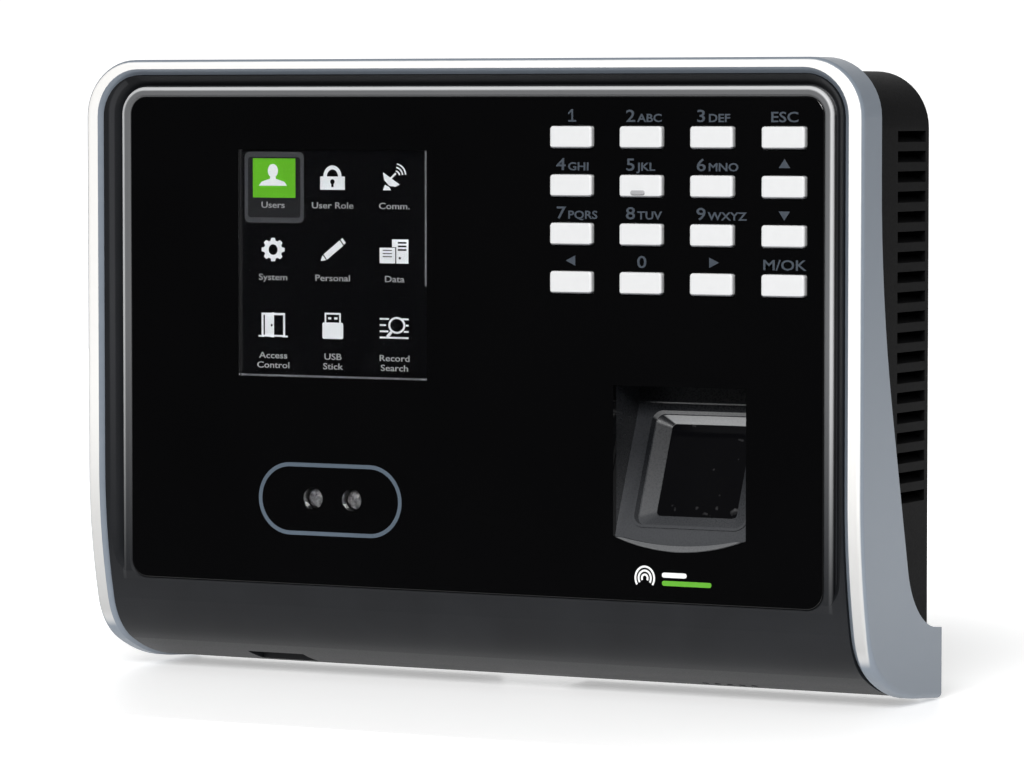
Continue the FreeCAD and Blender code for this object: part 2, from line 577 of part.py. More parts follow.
def panel_adhesive():
    y0, y1 = PANEL_Y + PANEL_T, SEAT_Y
    tape = plate(0, PANEL_Z, PANEL_W - 1, PANEL_H - 1, PANEL_R, y0, y1)
    tape = tape.cut(plate(0, PANEL_Z, PANEL_W - 8, PANEL_H - 8, PANEL_R, y0 - 1, y1 + 1))
    return tape


def display_window():
    x0, z0 = DISPLAY_X - DISPLAY_W / 2, DISPLAY_Z - DISPLAY_H / 2
    return box(x0, x0 + DISPLAY_W, PANEL_Y + DISPLAY_RECESS, PANEL_Y + PANEL_T, z0, z0 + DISPLAY_H)


def lcd_panel():
    """The display's glass, right behind the window."""
    y0 = PANEL_Y + PANEL_T + 0.1
    return plate(DISPLAY_X, DISPLAY_Z, DISPLAY_W + 3, DISPLAY_H + 3, 0.6, y0, FACE_BACK_Y + 0.1)


def lcd_frame():
    """The tray with the backlight, behind the glass."""
    y0 = FACE_BACK_Y + 0.12
    return plate(DISPLAY_X, DISPLAY_Z - 2, DISPLAY_W + 6, DISPLAY_H + 10, 1.0, y0, FACE_BACK_Y + 2.4)


def ribbon(x, width, points, thickness=0.3):
    """A flat cable: a strip along straight runs in the YZ plane."""
    line = [Vector(x - width / 2, y, z) for y, z in points]
    strip = None
    for p, q in zip(line, line[1:]):
        along = (q - p).normalize()
        side = along.cross(Vector(1, 0, 0)).multiply(thickness / 2)
        wire = Part.makePolygon([p + side, q + side, q - side, p - side, p + side])
        run = Part.Face(wire).extrude(Vector(width, 0, 0))
        joint = Part.makeCylinder(thickness / 2, width, q, Vector(1, 0, 0))
        run = run.fuse(joint) if q is not line[-1] else run
        strip = run if strip is None else strip.fuse(run)
    return strip.removeSplitter()


def lcd_ribbon():
    low = DISPLAY_Z - 2 - (DISPLAY_H + 10) / 2
    y = FACE_BACK_Y + 2.6
    path = [(y, low + 9), (y + 0.8, low - 1), (BOARD_Y - 6, low - 3), (BOARD_Y - 0.25, low + 2)]
    return ribbon(DISPLAY_X, 20, path)


def keypad_ribbon():
    z = KEY_Z0 - 3 * KEY_PITCH_Z - 4
    y = key_board_y() + KEY_BOARD_T
    return ribbon(KEY_X0 + 1.5 * KEY_PITCH_X, 12, [(y + 0.2, z), (y + 4, z - 3), (BOARD_Y - 0.25, z + 1)])


def key_cap(name, x, z):
    front = PANEL_Y - KEY_PROUD
    flange_y = FACE_BACK_Y + REST_GAP
    cap = plate(x, z, KEY_W, KEY_H, KEY_R, front, flange_y)
    cap = smooth(cap, [e for e in cap.Edges if abs(e.CenterOfMass.y - front) < 0.01], KEY_ROUND)
    flange = plate(x, z, KEY_FLANGE_W, KEY_FLANGE_H, 0.8, flange_y, flange_y + KEY_FLANGE_T)
    stem = rod_y(x, z, KEY_STEM_R, flange_y + KEY_FLANGE_T, flange_y + KEY_FLANGE_T + KEY_STEM_L)
    cap = cap.fuse([flange, stem])
    if name == "key_5":
        nub = plate(x + NUB_X, z + NUB_Z, NUB_W, NUB_H, NUB_H / 2 - 0.05, front - NUB_UP, front + NUB_UP)
        face = [e for e in nub.Edges if abs(e.CenterOfMass.y - front + NUB_UP) < 0.01]
        cap = cap.fuse(smooth(nub, face, NUB_UP / 2))
    return cap.removeSplitter()


def stem_end_y():
    return FACE_BACK_Y + REST_GAP + KEY_FLANGE_T + KEY_STEM_L


def key_board_y():
    return stem_end_y() + KEY_TRAVEL + 0.1 + 0.6


def keypad_board():
    x, z = KEY_X0 + 1.5 * KEY_PITCH_X, KEY_Z0 - 1.5 * KEY_PITCH_Z
    w, h, y = 3 * KEY_PITCH_X + 16, 3 * KEY_PITCH_Z + 8, key_board_y()
    return plate(x, z, w, h, 1.0, y, y + KEY_BOARD_T)


def dome_switches():
    """Sixteen metal snap domes, each a shallow cap on the keypad board."""
    domes = []
    for _, x, z in keys():
        base, height, r = key_board_y(), 0.6, 2.6
        sphere_r = (r * r + height * height) / (2 * height)
        ball = Part.makeSphere(sphere_r, Vector(x, base - height + sphere_r, z))
        domes.append(ball.common(rod_y(x, z, r + 1, base - height - 1, base)))
    return Part.makeCompound(domes)


def camera_windows():
    return Part.makeCompound([
        rod_y(x, CAMERA_Z, CAMERA_WINDOW_R, PANEL_Y + 0.05, PANEL_Y + PANEL_T) for x in CAMERA_XS])


def camera_lenses():
    """Two lens barrels that look out through the windows."""
    barrels = []
    for x in CAMERA_XS:
        front = SEAT_Y + 0.2
        barrel = rod_y(x, CAMERA_Z, 3.4, front, camera_board_y())
        barrels.append(barrel.cut(rod_y(x, CAMERA_Z, 2.2, front - 1, front + 1.5)))
    return Part.makeCompound(barrels)


def camera_board_y():
    return FACE_BACK_Y + 5.0


def camera_board():
    y = camera_board_y()
    return plate(RING_X, CAMERA_Z, 34, 18, 1.0, y, y + 1.2)


def ir_led_board():
    """The infrared lamps that light a face, on their own strip above the cameras."""
    y = FACE_BACK_Y + 2.2
    z = RING_Z + 15.0
    strip = plate(RING_X, z, 44, 6, 1.0, y, y + 1.0)
    lamps = [rod_y(RING_X + 7.0 * i, z, 1.5, y - 1.6, y) for i in range(-2, 3)]
    return strip.fuse(lamps)


# ---- fingerprint sensor ----------------------------------------------------------------------------
def tilted(shape):
    """Turns a shape made upright about the sensor's lower front edge, so that its top leans back."""
    pivot = Vector(SENSOR_X, PANEL_Y + REST_SET_BACK, SENSOR_SIDE_Z)
    shape.rotate(pivot, Vector(1, 0, 0), -SENSOR_TILT)
    return shape


def on_rest(width, low, high, r, depth):
    """A rounded rectangle on the upright finger rest, as a funnel's end: depth is measured into the rest."""
    return (WELL_X, SENSOR_SIDE_Z + (low + high) / 2, width, high - low, r, PANEL_Y + REST_SET_BACK + depth)


def on_rest_plate(width, low, high, r, depth, back):
    cx, cz, w, h, r, y = on_rest(width, low, high, r, depth)
    return tilted(plate(cx, cz, w, h, r, y, PANEL_Y + REST_SET_BACK + back))


def before_rest():
    """Everything in front of the tilted finger rest and of the ledge along its top."""
    x0, x1 = SENSOR_X - SENSOR_W, SENSOR_X + SENSOR_W
    low, ledge, high = SENSOR_SIDE_Z - 60, SENSOR_SIDE_Z + LEDGE_LOW, SENSOR_SIDE_Z + 100
    front, face = PANEL_Y - 60, PANEL_Y + REST_SET_BACK
    rest = box(x0, x1, front, face, low, ledge)
    upper = box(x0, x1, front, face - LEDGE_UP, low, high)
    return tilted(rest.fuse(upper).removeSplitter())


def sensor_surround():
    """The moulded surround: a recess whose floor is the tilted finger rest, with a stepped frame."""
    body = sensor_outline(SENSOR_WALL, SENSOR_FRONT_Y, SURROUND_BACK_Y)
    tongue = sensor_outline(-0.05, PANEL_Y - SENSOR_LIP + 0.3, SENSOR_FRONT_Y + 0.5)
    body = body.fuse(tongue)
    body = body.cut(sensor_outline(0.0, PANEL_Y - 5, SURROUND_BACK_Y + 5).common(before_rest()))
    lip = sensor_outline(-0.05, PANEL_Y - SENSOR_LIP, SENSOR_FRONT_Y + 0.5)
    lip = lip.cut(sensor_outline(-SENSOR_LIP_W, PANEL_Y - 3, SURROUND_BACK_Y))
    lip = one_solid(lip.common(box(-FAR, FAR, -FAR, FAR, -FAR, SENSOR_SIDE_Z - 0.2)))
    outer = [
        e for e in lip.Edges
        if abs(e.CenterOfMass.y - (PANEL_Y - SENSOR_LIP)) < 0.01 and e.Length > 0.9 * SENSOR_W
    ]
    body = body.fuse(smooth(lip, outer, SENSOR_LIP_ROUND))
    # stepped frame around the glass, inside a low ridge
    grow = RIDGE_W + 0.4
    body = body.fuse(on_rest_plate(
        FRAME_W + 2 * grow, FRAME_LOW - grow, FRAME_HIGH + grow, 2.6 + RIDGE_W, -RIDGE_H, 1.0))
    body = body.cut(tilted(funnel(
        on_rest(FRAME_W + 0.8, FRAME_LOW - 0.4, FRAME_HIGH + 0.4, 2.6, -0.6),
        on_rest(FRAME_W, FRAME_LOW, FRAME_HIGH, 2.2, FRAME_STEP))))
    body = body.cut(tilted(funnel(
        on_rest(FRAME_W - 0.2, FRAME_LOW + 0.1, FRAME_HIGH - 0.1, 2.1, FRAME_STEP - 0.1),
        on_rest(GLASS_W, GLASS_LOW, GLASS_HIGH, 1.0, GLASS_STEP))))
    well = on_rest_plate(GLASS_W + 0.1, GLASS_LOW - 0.05, GLASS_HIGH + 0.05, 1.0, GLASS_STEP - 0.3, 40)
    return one_solid(body.cut(well).removeSplitter())


def sensor_glass():
    return on_rest_plate(GLASS_W, GLASS_LOW, GLASS_HIGH, 1.0, GLASS_STEP + 0.1, GLASS_STEP + 0.1 + GLASS_T)


def sensor_prism():
    """The optical block under the glass."""
    top = GLASS_STEP + GLASS_T + 0.15
    block = on_rest_plate(GLASS_W - 1, GLASS_LOW + 0.5, GLASS_HIGH - 0.5, 0.8, top, top + 20)
    return block.common(box(-FAR, FAR, -FAR, SURROUND_BACK_Y - 0.5, -FAR, FAR))


def sensor_board():
    z = (SENSOR_TOP_Z + SENSOR_SIDE_Z) / 2
    y = SURROUND_BACK_Y + 0.1
    return plate(SENSOR_X, z, SENSOR_BOARD_W, SENSOR_BOARD_H, 1.0, y, y + 1.0)


# ---- electronics behind ----------------------------------------------------------------------------
def board_screw_places():
    return [(sx * BOARD_SCREW_X, BOARD_Z + sz * BOARD_SCREW_Z) for sx in (-1, 1) for sz in (-1, 1)]


def main_board():
    board = plate(0, BOARD_Z, BOARD_W, BOARD_H, 2.0, BOARD_Y, BOARD_Y + BOARD_T)
    for x, z in board_screw_places():
        board = board.cut(rod_y(x, z, 1.6, BOARD_Y - 1, BOARD_Y + BOARD_T + 1))
    return board


def cross(x, z, face_y, inward):
    """The cross cut into a screw's head from face_y; inward is 1 or -1 along Y."""
    a, b = sorted((face_y - inward, face_y + inward * SLOT_DEPTH))
    reach = 5 * SLOT_HALF_W
    flat = box(x - reach, x + reach, a, b, z - SLOT_HALF_W, z + SLOT_HALF_W)
    return flat.fuse(box(x - SLOT_HALF_W, x + SLOT_HALF_W, a, b, z - reach, z + reach))


def board_screws():
    made = []
    for x, z in board_screw_places():
        head = rod_y(x, z, BOARD_HEAD_R, BOARD_Y - BOARD_HEAD_T, BOARD_Y)
        shank = rod_y(x, z, BOARD_SCREW_R, BOARD_Y - 0.5, CASE_SEAT_Y - 1)
        made.append(head.fuse(shank).cut(cross(x, z, BOARD_Y - BOARD_HEAD_T, 1)))
    return Part.makeCompound(made)


def case_screws():
    made = []
    for x, z in case_screw_places():
        head = rod_y(x, z, CASE_HEAD_R, CASE_SEAT_Y, CASE_SEAT_Y + CASE_HEAD_T)
        shank = rod_y(x, z, CASE_SCREW_R, PART_Y + 0.5, CASE_SEAT_Y)
        made.append(head.fuse(shank).cut(cross(x, z, CASE_SEAT_Y + CASE_HEAD_T, -1)))
    return Part.makeCompound(made)


def processor_shield():
    y = BOARD_Y - 3.0
    can = plate(8, BOARD_Z - 6, 36, 30, 1.0, y, BOARD_Y - 0.02)
    can = smooth(can, [e for e in can.Edges if abs(e.CenterOfMass.y - y) < 0.01], 0.4)
    return can.cut(plate(8, BOARD_Z - 6, 35, 29, 0.8, y + 0.5, BOARD_Y))


def connector_places():
    """Connector name: centre x, centre z, width and height of its body."""
    return {
        "ethernet_jack": (-38.0, BAY_Z - 1.0, 16.0, 14.0),
        "power_jack": (-17.0, BAY_Z - 1.0, 9.0, 11.0),
        "terminal_headers": (17.0, BAY_Z - 4.0, 42.0, 8.5),
    }


def ethernet_jack():
    x, z, w, h = connector_places()["ethernet_jack"]
    back, tip = BOARD_Y + BOARD_T, -8.0
    body = box(x - w / 2, x + w / 2, back, tip, z - h / 2, z + h / 2)
    port = box(x - 6.0, x + 6.0, tip - 9, tip + 1, z - 4.5, z + 3.5)
    latch = box(x - 2.5, x + 2.5, tip - 9, tip + 1, z + 3.0, z + 6.0)
    return body.cut(port.fuse(latch))


def power_jack():
    x, z, w, h = connector_places()["power_jack"]
    back, tip = BOARD_Y + BOARD_T, -8.5
    body = box(x - w / 2, x + w / 2, back, tip, z - h / 2, z + h / 2)
    bore = rod_y(x, z, 3.0, tip - 9, tip + 1)
    pin = rod_y(x, z, 1.0, tip - 10, tip - 1)
    return body.cut(bore).fuse(pin)


def terminal_headers():
    """Two rows of wire clamps for the door lock, the bell and the reader bus."""
    x, z, w, h = connector_places()["terminal_headers"]
    back, tip = BOARD_Y + BOARD_T, -8.0
    made = []
    ways, pitch = 6, 3.4
    for side in (-1, 1):
        cx = x + side * w / 4
        half = w / 4 - 0.3
        body = box(cx - half, cx + half, back, tip, z - h / 2, z + h / 2)
        for i in range(ways):
            px = cx + (i - (ways - 1) / 2) * pitch
            body = body.cut(box(px - 1.1, px + 1.1, tip - 5, tip + 1, z - 3.4, z - 0.6))
            body = body.cut(rod_y(px, z + 2.0, 1.2, tip - 2, tip + 1))
        made.append(body)
    return Part.makeCompound(made)


def usb_socket():
    x0, x1 = USB_X - USB_W / 2, USB_X + USB_W / 2
    y0, y1 = USB_Y - USB_D / 2, USB_Y + USB_D / 2
    low, wall = USB_MOUTH_Z, USB_SHELL
    shell = box(x0, x1, y0, y1, low, low + USB_L)
    shell = shell.cut(box(x0 + wall, x1 - wall, y0 + wall, y1 - wall, low - 1, low + USB_L - 4))
    tongue = box(x0 + 1.4, x1 - 1.4, y1 - 2.6, y1 - 0.9, low + 1.5, low + USB_L - 3)
    return shell.fuse(tongue)


def speaker():
    """A small round loudspeaker above the grille in the underside."""
    low = SPEAKER_Z
    frame = rod_z(SPEAKER_X, SPEAKER_Y, SPEAKER_R, low + SPEAKER_RIM, low + 3.0)
    rim = rod_z(SPEAKER_X, SPEAKER_Y, SPEAKER_R, low, low + SPEAKER_RIM)
    rim = rim.cut(rod_z(SPEAKER_X, SPEAKER_Y, SPEAKER_R - SPEAKER_RIM, low - 1, low + 2))
    magnet = rod_z(SPEAKER_X, SPEAKER_Y, SPEAKER_R - 4, low + 3.0, low + 6.0)
    return frame.fuse([rim, magnet])


def backup_battery():
    x, z = -46.0, BOARD_Z + 30.0
    cell = rod_y(x, z, 10.0, BOARD_Y - 4.2, BOARD_Y - 1.0)
    holder = plate(x, z, 23, 10, 1.0, BOARD_Y - 1.0, BOARD_Y - 0.02)
    return cell.fuse(holder)


def reset_switch():
    back = BOARD_Y + BOARD_T + TOUCH
    return plate(RESET_X, RESET_Z, 6, 6, 0.4, back, back + 1.2).cut(
        rod_y(RESET_X, RESET_Z, RESET_R + 0.08, back + 0.3, back + 3))


def reset_button():
    back = BOARD_Y + BOARD_T + TOUCH
    return rod_y(RESET_X, RESET_Z, RESET_R, back + 0.9, BAY_FLOOR_Y - 0.4)


def tamper_switch():
    back = BOARD_Y + BOARD_T + TOUCH
    body = plate(TAMPER_X, TAMPER_Z, 10, 8, 0.6, back, back + 7)
    return body.cut(rod_y(TAMPER_X, TAMPER_Z, TAMPER_R + 0.1, back + 1.5, back + 8))


def tamper_plunger():
    back = BOARD_Y + BOARD_T + TOUCH
    rod = rod_y(TAMPER_X, TAMPER_Z, TAMPER_R, back + 1.5 + TAMPER_TRAVEL + 0.2, TAMPER_TIP_Y)
    return smooth(rod, [e for e in rod.Edges if abs(e.CenterOfMass.y - TAMPER_TIP_Y) < 0.01], 0.6)


# ---- wall side -------------------------------------------------------------------------------------
def wall_plate():
    sheet = plate(0, 0, PLATE_W, PLATE_H, 5.0, -PLATE_T, 0)
    sheet = sheet.cut(plate(0, BAY_Z, BAY_W + 6, PLATE_WINDOW_H, 4.0, -PLATE_T - 1, 1))
    for sx in (-1, 1):
        for sz in (-1, 1):
            hole = rod_y(sx * BOLT_SPACING_X / 2, sz * BOLT_SPACING_Z / 2, BOLT_R, -PLATE_T - 1, 1)
            sheet = sheet.cut(hole)
    # the plunger reaches the wall through this slot, which is tall enough for the lift
    slot = plate(TAMPER_X, TAMPER_Z + LIFT / 2, 8, LIFT + 8, 3.5, -PLATE_T - 1, 1)
    sheet = sheet.cut(slot)
    reach = POCKET_Y - WALL_T - 0.4         # the hook's upright stands just inside the rear cover
    for x in HOOK_XS:
        x0, x1 = x - HOOK_W / 2, x + HOOK_W / 2
        shelf = box(x0, x1, reach - PLATE_T, -PLATE_T, HOOK_Z, HOOK_Z + PLATE_T)
        upright = box(x0, x1, reach - PLATE_T, reach, HOOK_Z, HOOK_Z + HOOK_UP)
        upright = upright.makeFillet(2.0, [
            e for e in edges_along(upright, Vector(0, 1, 0)) if e.CenterOfMass.z > HOOK_Z + 1])
        sheet = sheet.fuse([shelf, upright])
        # the hook is bent out of the sheet and leaves a window above it
        sheet = sheet.cut(box(x0 - 0.6, x1 + 0.6, -PLATE_T - 0.01, 1, HOOK_Z + PLATE_T, HOOK_Z + PLATE_T + 12))
    # the tab at the bottom that takes the locking screw
    stem = box(-TAB_W / 2, TAB_W / 2, -PLATE_T, 0, TAB_Z - PLATE_T, -PLATE_H / 2 + 2)
    tab = box(-TAB_W / 2, TAB_W / 2, TAB_Y0, 0, TAB_Z - PLATE_T, TAB_Z)
    sheet = sheet.fuse([stem, tab])
    sheet = sheet.cut(rod_z(0, SCREW_Y, SCREW_R + 0.3, TAB_Z - 4, TAB_Z + 2))
    return sheet.removeSplitter()


def lock_screw():
    low = TAB_Z - PLATE_T - 0.02
    head = rod_z(0, SCREW_Y, SCREW_HEAD_R, low - SCREW_HEAD_T, low)
    head = smooth(head, [e for e in head.Edges if abs(e.CenterOfMass.z - low + SCREW_HEAD_T) < 0.01], 0.6)
    shank = rod_z(0, SCREW_Y, SCREW_R, low, TAB_Z + 9.0)
    socket = Part.Face(Part.makePolygon([
        Vector(1.25 * math.cos(math.radians(60 * i)), SCREW_Y + 1.25 * math.sin(math.radians(60 * i)),
               low - SCREW_HEAD_T - 1) for i in range(7)])).extrude(Vector(0, 0, 2.6))
    pin = rod_z(0, SCREW_Y, 0.4, low - SCREW_HEAD_T + 0.2, low - SCREW_HEAD_T + 1.7)
    return head.fuse(shank).cut(socket).fuse(pin)


NODES = {
    "front_bezel": front_bezel,
    "side_trim": side_trim,
    "rear_cover": rear_cover,
    "connector_bay": connector_bay,
    "front_panel": front_panel,
    "panel_adhesive": panel_adhesive,
    "display_window": display_window,
    "lcd_panel": lcd_panel,
    "lcd_frame": lcd_frame,
    "lcd_ribbon": lcd_ribbon,
    "keypad_board": keypad_board,
    "keypad_ribbon": keypad_ribbon,
    "dome_switches": dome_switches,
    "camera_ring": camera_ring,
    "camera_windows": camera_windows,
    "camera_lenses": camera_lenses,
    "camera_board": camera_board,
    "ir_led_board": ir_led_board,
    "sensor_surround": sensor_surround,
    "sensor_glass": sensor_glass,
    "sensor_prism": sensor_prism,
    "sensor_board": sensor_board,
    "main_board": main_board,
    "board_screws": board_screws,
    "case_screws": case_screws,
    "processor_shield": processor_shield,
    "ethernet_jack": ethernet_jack,
    "power_jack": power_jack,
    "terminal_headers": terminal_headers,
    "usb_socket": usb_socket,
    "speaker": speaker,
    "backup_battery": backup_battery,
    "reset_switch": reset_switch,
    "reset_button": reset_button,
    "tamper_switch": tamper_switch,
    "tamper_plunger": tamper_plunger,
    "wall_plate": wall_plate,
    "lock_screw": lock_screw,
}


def main():
    os.makedirs("parts", exist_ok=True)
    shapes = {name: make() for name, make in NODES.items()}
    for name, x, z in keys():
        shapes[name] = key_cap(name, x, z)
    for name, shape in shapes.items():
        if not shape.isValid() or not shape.Solids:
            print("PROBLEM", name, "valid", shape.isValid(), "solids", len(shape.Solids))
        shape.exportStep("parts/%s.step" % name)
        b = shape.BoundBox
        print("%-18s solids %2d volume %9.1f  x %.1f..%.1f y %.1f..%.1f z %.1f..%.1f" % (
            name, len(shape.Solids), shape.Volume, b.XMin, b.XMax, b.YMin, b.YMax, b.ZMin, b.ZMax))


main()
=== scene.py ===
import json
import math

import bpy
from mathutils import Matrix, Vector


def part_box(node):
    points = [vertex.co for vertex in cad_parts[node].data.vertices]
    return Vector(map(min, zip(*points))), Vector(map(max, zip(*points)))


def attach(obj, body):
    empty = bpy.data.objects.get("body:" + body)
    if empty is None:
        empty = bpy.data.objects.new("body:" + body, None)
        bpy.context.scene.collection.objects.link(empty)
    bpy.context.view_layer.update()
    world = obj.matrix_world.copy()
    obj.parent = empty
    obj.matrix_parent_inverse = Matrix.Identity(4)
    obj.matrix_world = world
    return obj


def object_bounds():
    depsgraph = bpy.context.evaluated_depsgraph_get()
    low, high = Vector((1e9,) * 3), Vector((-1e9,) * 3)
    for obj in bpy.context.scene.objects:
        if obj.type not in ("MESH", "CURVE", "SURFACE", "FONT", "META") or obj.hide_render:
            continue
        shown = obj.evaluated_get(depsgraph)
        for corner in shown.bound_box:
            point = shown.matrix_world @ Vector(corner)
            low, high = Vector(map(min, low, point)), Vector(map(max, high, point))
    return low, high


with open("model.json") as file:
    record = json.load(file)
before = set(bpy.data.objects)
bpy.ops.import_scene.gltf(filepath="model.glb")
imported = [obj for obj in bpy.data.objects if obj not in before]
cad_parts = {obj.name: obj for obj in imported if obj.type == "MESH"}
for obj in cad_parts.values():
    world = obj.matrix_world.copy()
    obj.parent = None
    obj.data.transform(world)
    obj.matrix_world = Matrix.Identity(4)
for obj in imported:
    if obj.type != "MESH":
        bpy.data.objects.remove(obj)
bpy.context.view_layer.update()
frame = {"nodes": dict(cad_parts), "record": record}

MM = 0.001
nodes = frame["nodes"]

# ---- places read from the frame ---------------------------------------------------------------------
panel_low, panel_high = (Vector(p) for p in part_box("front_panel"))
window_low, window_high = (Vector(p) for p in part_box("display_window"))
sensor_low = Vector(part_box("sensor_surround")[0])
windows_low, windows_high = (Vector(p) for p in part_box("camera_windows"))
PANEL_Y = panel_low.y
KEY_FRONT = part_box("key_1")[0][1]
SCREEN_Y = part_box("lcd_panel")[0][1]
FLOOR_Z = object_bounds()[0][2] - 0.2 * MM

PANEL_CORNER = 4.0 * MM
LIP_W = 2.4 * MM                                # width of the bezel's lip round the panel
EDGE_HIGHLIGHT_NEAR, EDGE_HIGHLIGHT_FAR = 0.55 * LIP_W, 0.75 * LIP_W    # the painted highlight on the lip's outer edge begins between these
HIGHLIGHT_STRIPE_NEAR, HIGHLIGHT_STRIPE_FAR = 3.9 * MM, 5.0 * MM    # a lighter stripe painted in the side channel as the highlight of a ledge, from the panel's edge
HIGHLIGHT_STRIPE_BLUR = 0.3 * MM
HIGHLIGHT_FADE_LOW, HIGHLIGHT_FADE_HIGH = -55.0 * MM, 20.0 * MM     # the painted highlights on the lip and the stripe grow lighter between these heights
UPPER_Z = sensor_low.z + 26.0 * MM              # the upper part of the finger window begins here
RIM_HIGHLIGHT_FADE_LOW, RIM_HIGHLIGHT_FADE_HIGH = -65.0 * MM, 0.0   # the painted highlight on the silver rim's front grows duller between these heights
SKIN = 0.06 * MM                                # printed marks stand this far off the face under them


# ---- materials --------------------------------------------------------------------------------------
class Shader:
    """A Principled material whose sockets take numbers or small networks."""

    def __init__(self, name):
        self.material = bpy.data.materials.new(name)
        self.material.use_nodes = True
        self.tree = self.material.node_tree
        self.bsdf = self.tree.nodes["Principled BSDF"]
        self.coords = self.tree.nodes.new("ShaderNodeTexCoord").outputs["Object"]

    def set(self, **values):
        for key, value in values.items():
            socket = self.bsdf.inputs[key.replace("_", " ")]
            if hasattr(value, "is_output"):
                self.tree.links.new(value, socket)
            elif isinstance(value, tuple):
                socket.default_value = (*value, 1.0)
            else:
                socket.default_value = value
        return self

    def node(self, kind, **inputs):
        made = self.tree.nodes.new(kind)
        for key, value in inputs.items():
            socket = made.inputs[key.replace("_", " ")]
            if hasattr(value, "is_output"):
                self.tree.links.new(value, socket)
            else:
                socket.default_value = value
        return made

    def noise(self, scale, detail=3.0, roughness=0.5, stretch=(1, 1, 1)):
        vector = self.node("ShaderNodeVectorMath", Vector=self.coords)
        vector.operation = "MULTIPLY"
        vector.inputs[1].default_value = stretch
        return self.node("ShaderNodeTexNoise", Vector=vector.outputs[0], Scale=scale, Detail=detail,
                         Roughness=roughness).outputs["Fac"]

    def spread(self, value, low, high):
        """Maps noise around 0.5 to low..high."""
        mapped = self.node("ShaderNodeMapRange", Value=value)
        for key, number in (("From Min", 0.3), ("From Max", 0.7), ("To Min", low), ("To Max", high)):
            mapped.inputs[key].default_value = number
        return mapped.outputs["Result"]

    def tint(self, value, dark, light):
        mix = self.tree.nodes.new("ShaderNodeMix")
        mix.data_type = "RGBA"
        self.tree.links.new(value, mix.inputs["Factor"])
        mix.inputs["A"].default_value = (*dark, 1.0)
        mix.inputs["B"].default_value = (*light, 1.0)
        return mix.outputs["Result"]

    def bump(self, height, strength, distance):
        made = self.node("ShaderNodeBump", Height=height)
        made.inputs["Strength"].default_value = strength
        made.inputs["Distance"].default_value = distance
        self.tree.links.new(made.outputs["Normal"], self.bsdf.inputs["Normal"])
        return self


def plastic(name, colour, roughness, grain=900.0, bump=0.0, shine=0.5):
    """Moulded plastic: a faint mottle, a grain in the gloss and, where asked, in the surface."""
    s = Shader(name)
    mottle = s.spread(s.noise(60.0, 2.0), 0.0, 1.0)
    dark = tuple(c * 0.88 for c in colour)
    light = tuple(c * 1.12 for c in colour)
    s.set(Base_Color=s.tint(mottle, dark, light))
    fine = s.noise(grain, 4.0, 0.6)
    s.set(Roughness=s.spread(fine, roughness * 0.9, roughness * 1.1), Specular_IOR_Level=shine)
    if bump:
        s.bump(fine, bump, 0.02 * MM)
    return s.material


def metal(name, colour, roughness, stretch=(1, 1, 1)):
    """Plated or brushed metal; stretch draws the grain out along an axis."""
    s = Shader(name)
    streak = s.noise(700.0, 5.0, 0.6, stretch)
    dark = tuple(c * 0.9 for c in colour)
    s.set(Base_Color=s.tint(streak, dark, colour), Metallic=1.0)
    s.set(Roughness=s.spread(streak, roughness * 0.8, roughness * 1.25))
    s.bump(streak, 0.05, 0.01 * MM)
    return s.material


def panel_gloss():
    """Printed black acrylic: a deep black with a faint orange peel in the polish."""
    s = Shader("panel_gloss")
    wave = s.noise(25.0, 2.0)
    s.set(Base_Color=s.tint(wave, (0.0018, 0.0018, 0.002), (0.0026, 0.0026, 0.0028)))
    s.set(Roughness=s.spread(s.noise(300.0), 0.03, 0.05), IOR=1.45)
    s.bump(wave, 0.02, 0.05 * MM)
    return s.material


def glass(name, colour, roughness):
    s = Shader(name)
    smear = s.noise(120.0, 3.0)
    s.set(Base_Color=s.tint(smear, tuple(c * 0.94 for c in colour), colour), IOR=1.49)
    s.set(Roughness=s.spread(smear, roughness * 0.8, roughness * 1.3), Transmission_Weight=1.0)
    return s.material


def ink(name, colour, glow=0.0):
    """Screen-printed ink, or a lit part of the display when glow is set."""
    s = Shader(name)
    dots = s.noise(1500.0, 2.0)
    shade = s.tint(dots, tuple(c * 0.9 for c in colour), colour)
    s.set(Base_Color=shade, Roughness=s.spread(dots, 0.4, 0.55))
    if glow:
        s.set(Emission_Color=shade, Emission_Strength=glow, Specular_IOR_Level=0.05)
    return s.material


def board_green():
    """Solder mask over copper: tracks show as lighter lines."""
    s = Shader("board_green")
    brick = s.node("ShaderNodeTexBrick", Vector=s.coords, Scale=250.0)
    brick.inputs["Mortar Size"].default_value = 0.03
    s.set(Base_Color=s.tint(brick.outputs["Fac"], (0.01, 0.09, 0.035), (0.03, 0.2, 0.07)), Roughness=0.35)
    s.bump(brick.outputs["Fac"], 0.1, 0.02 * MM)
    return s.material


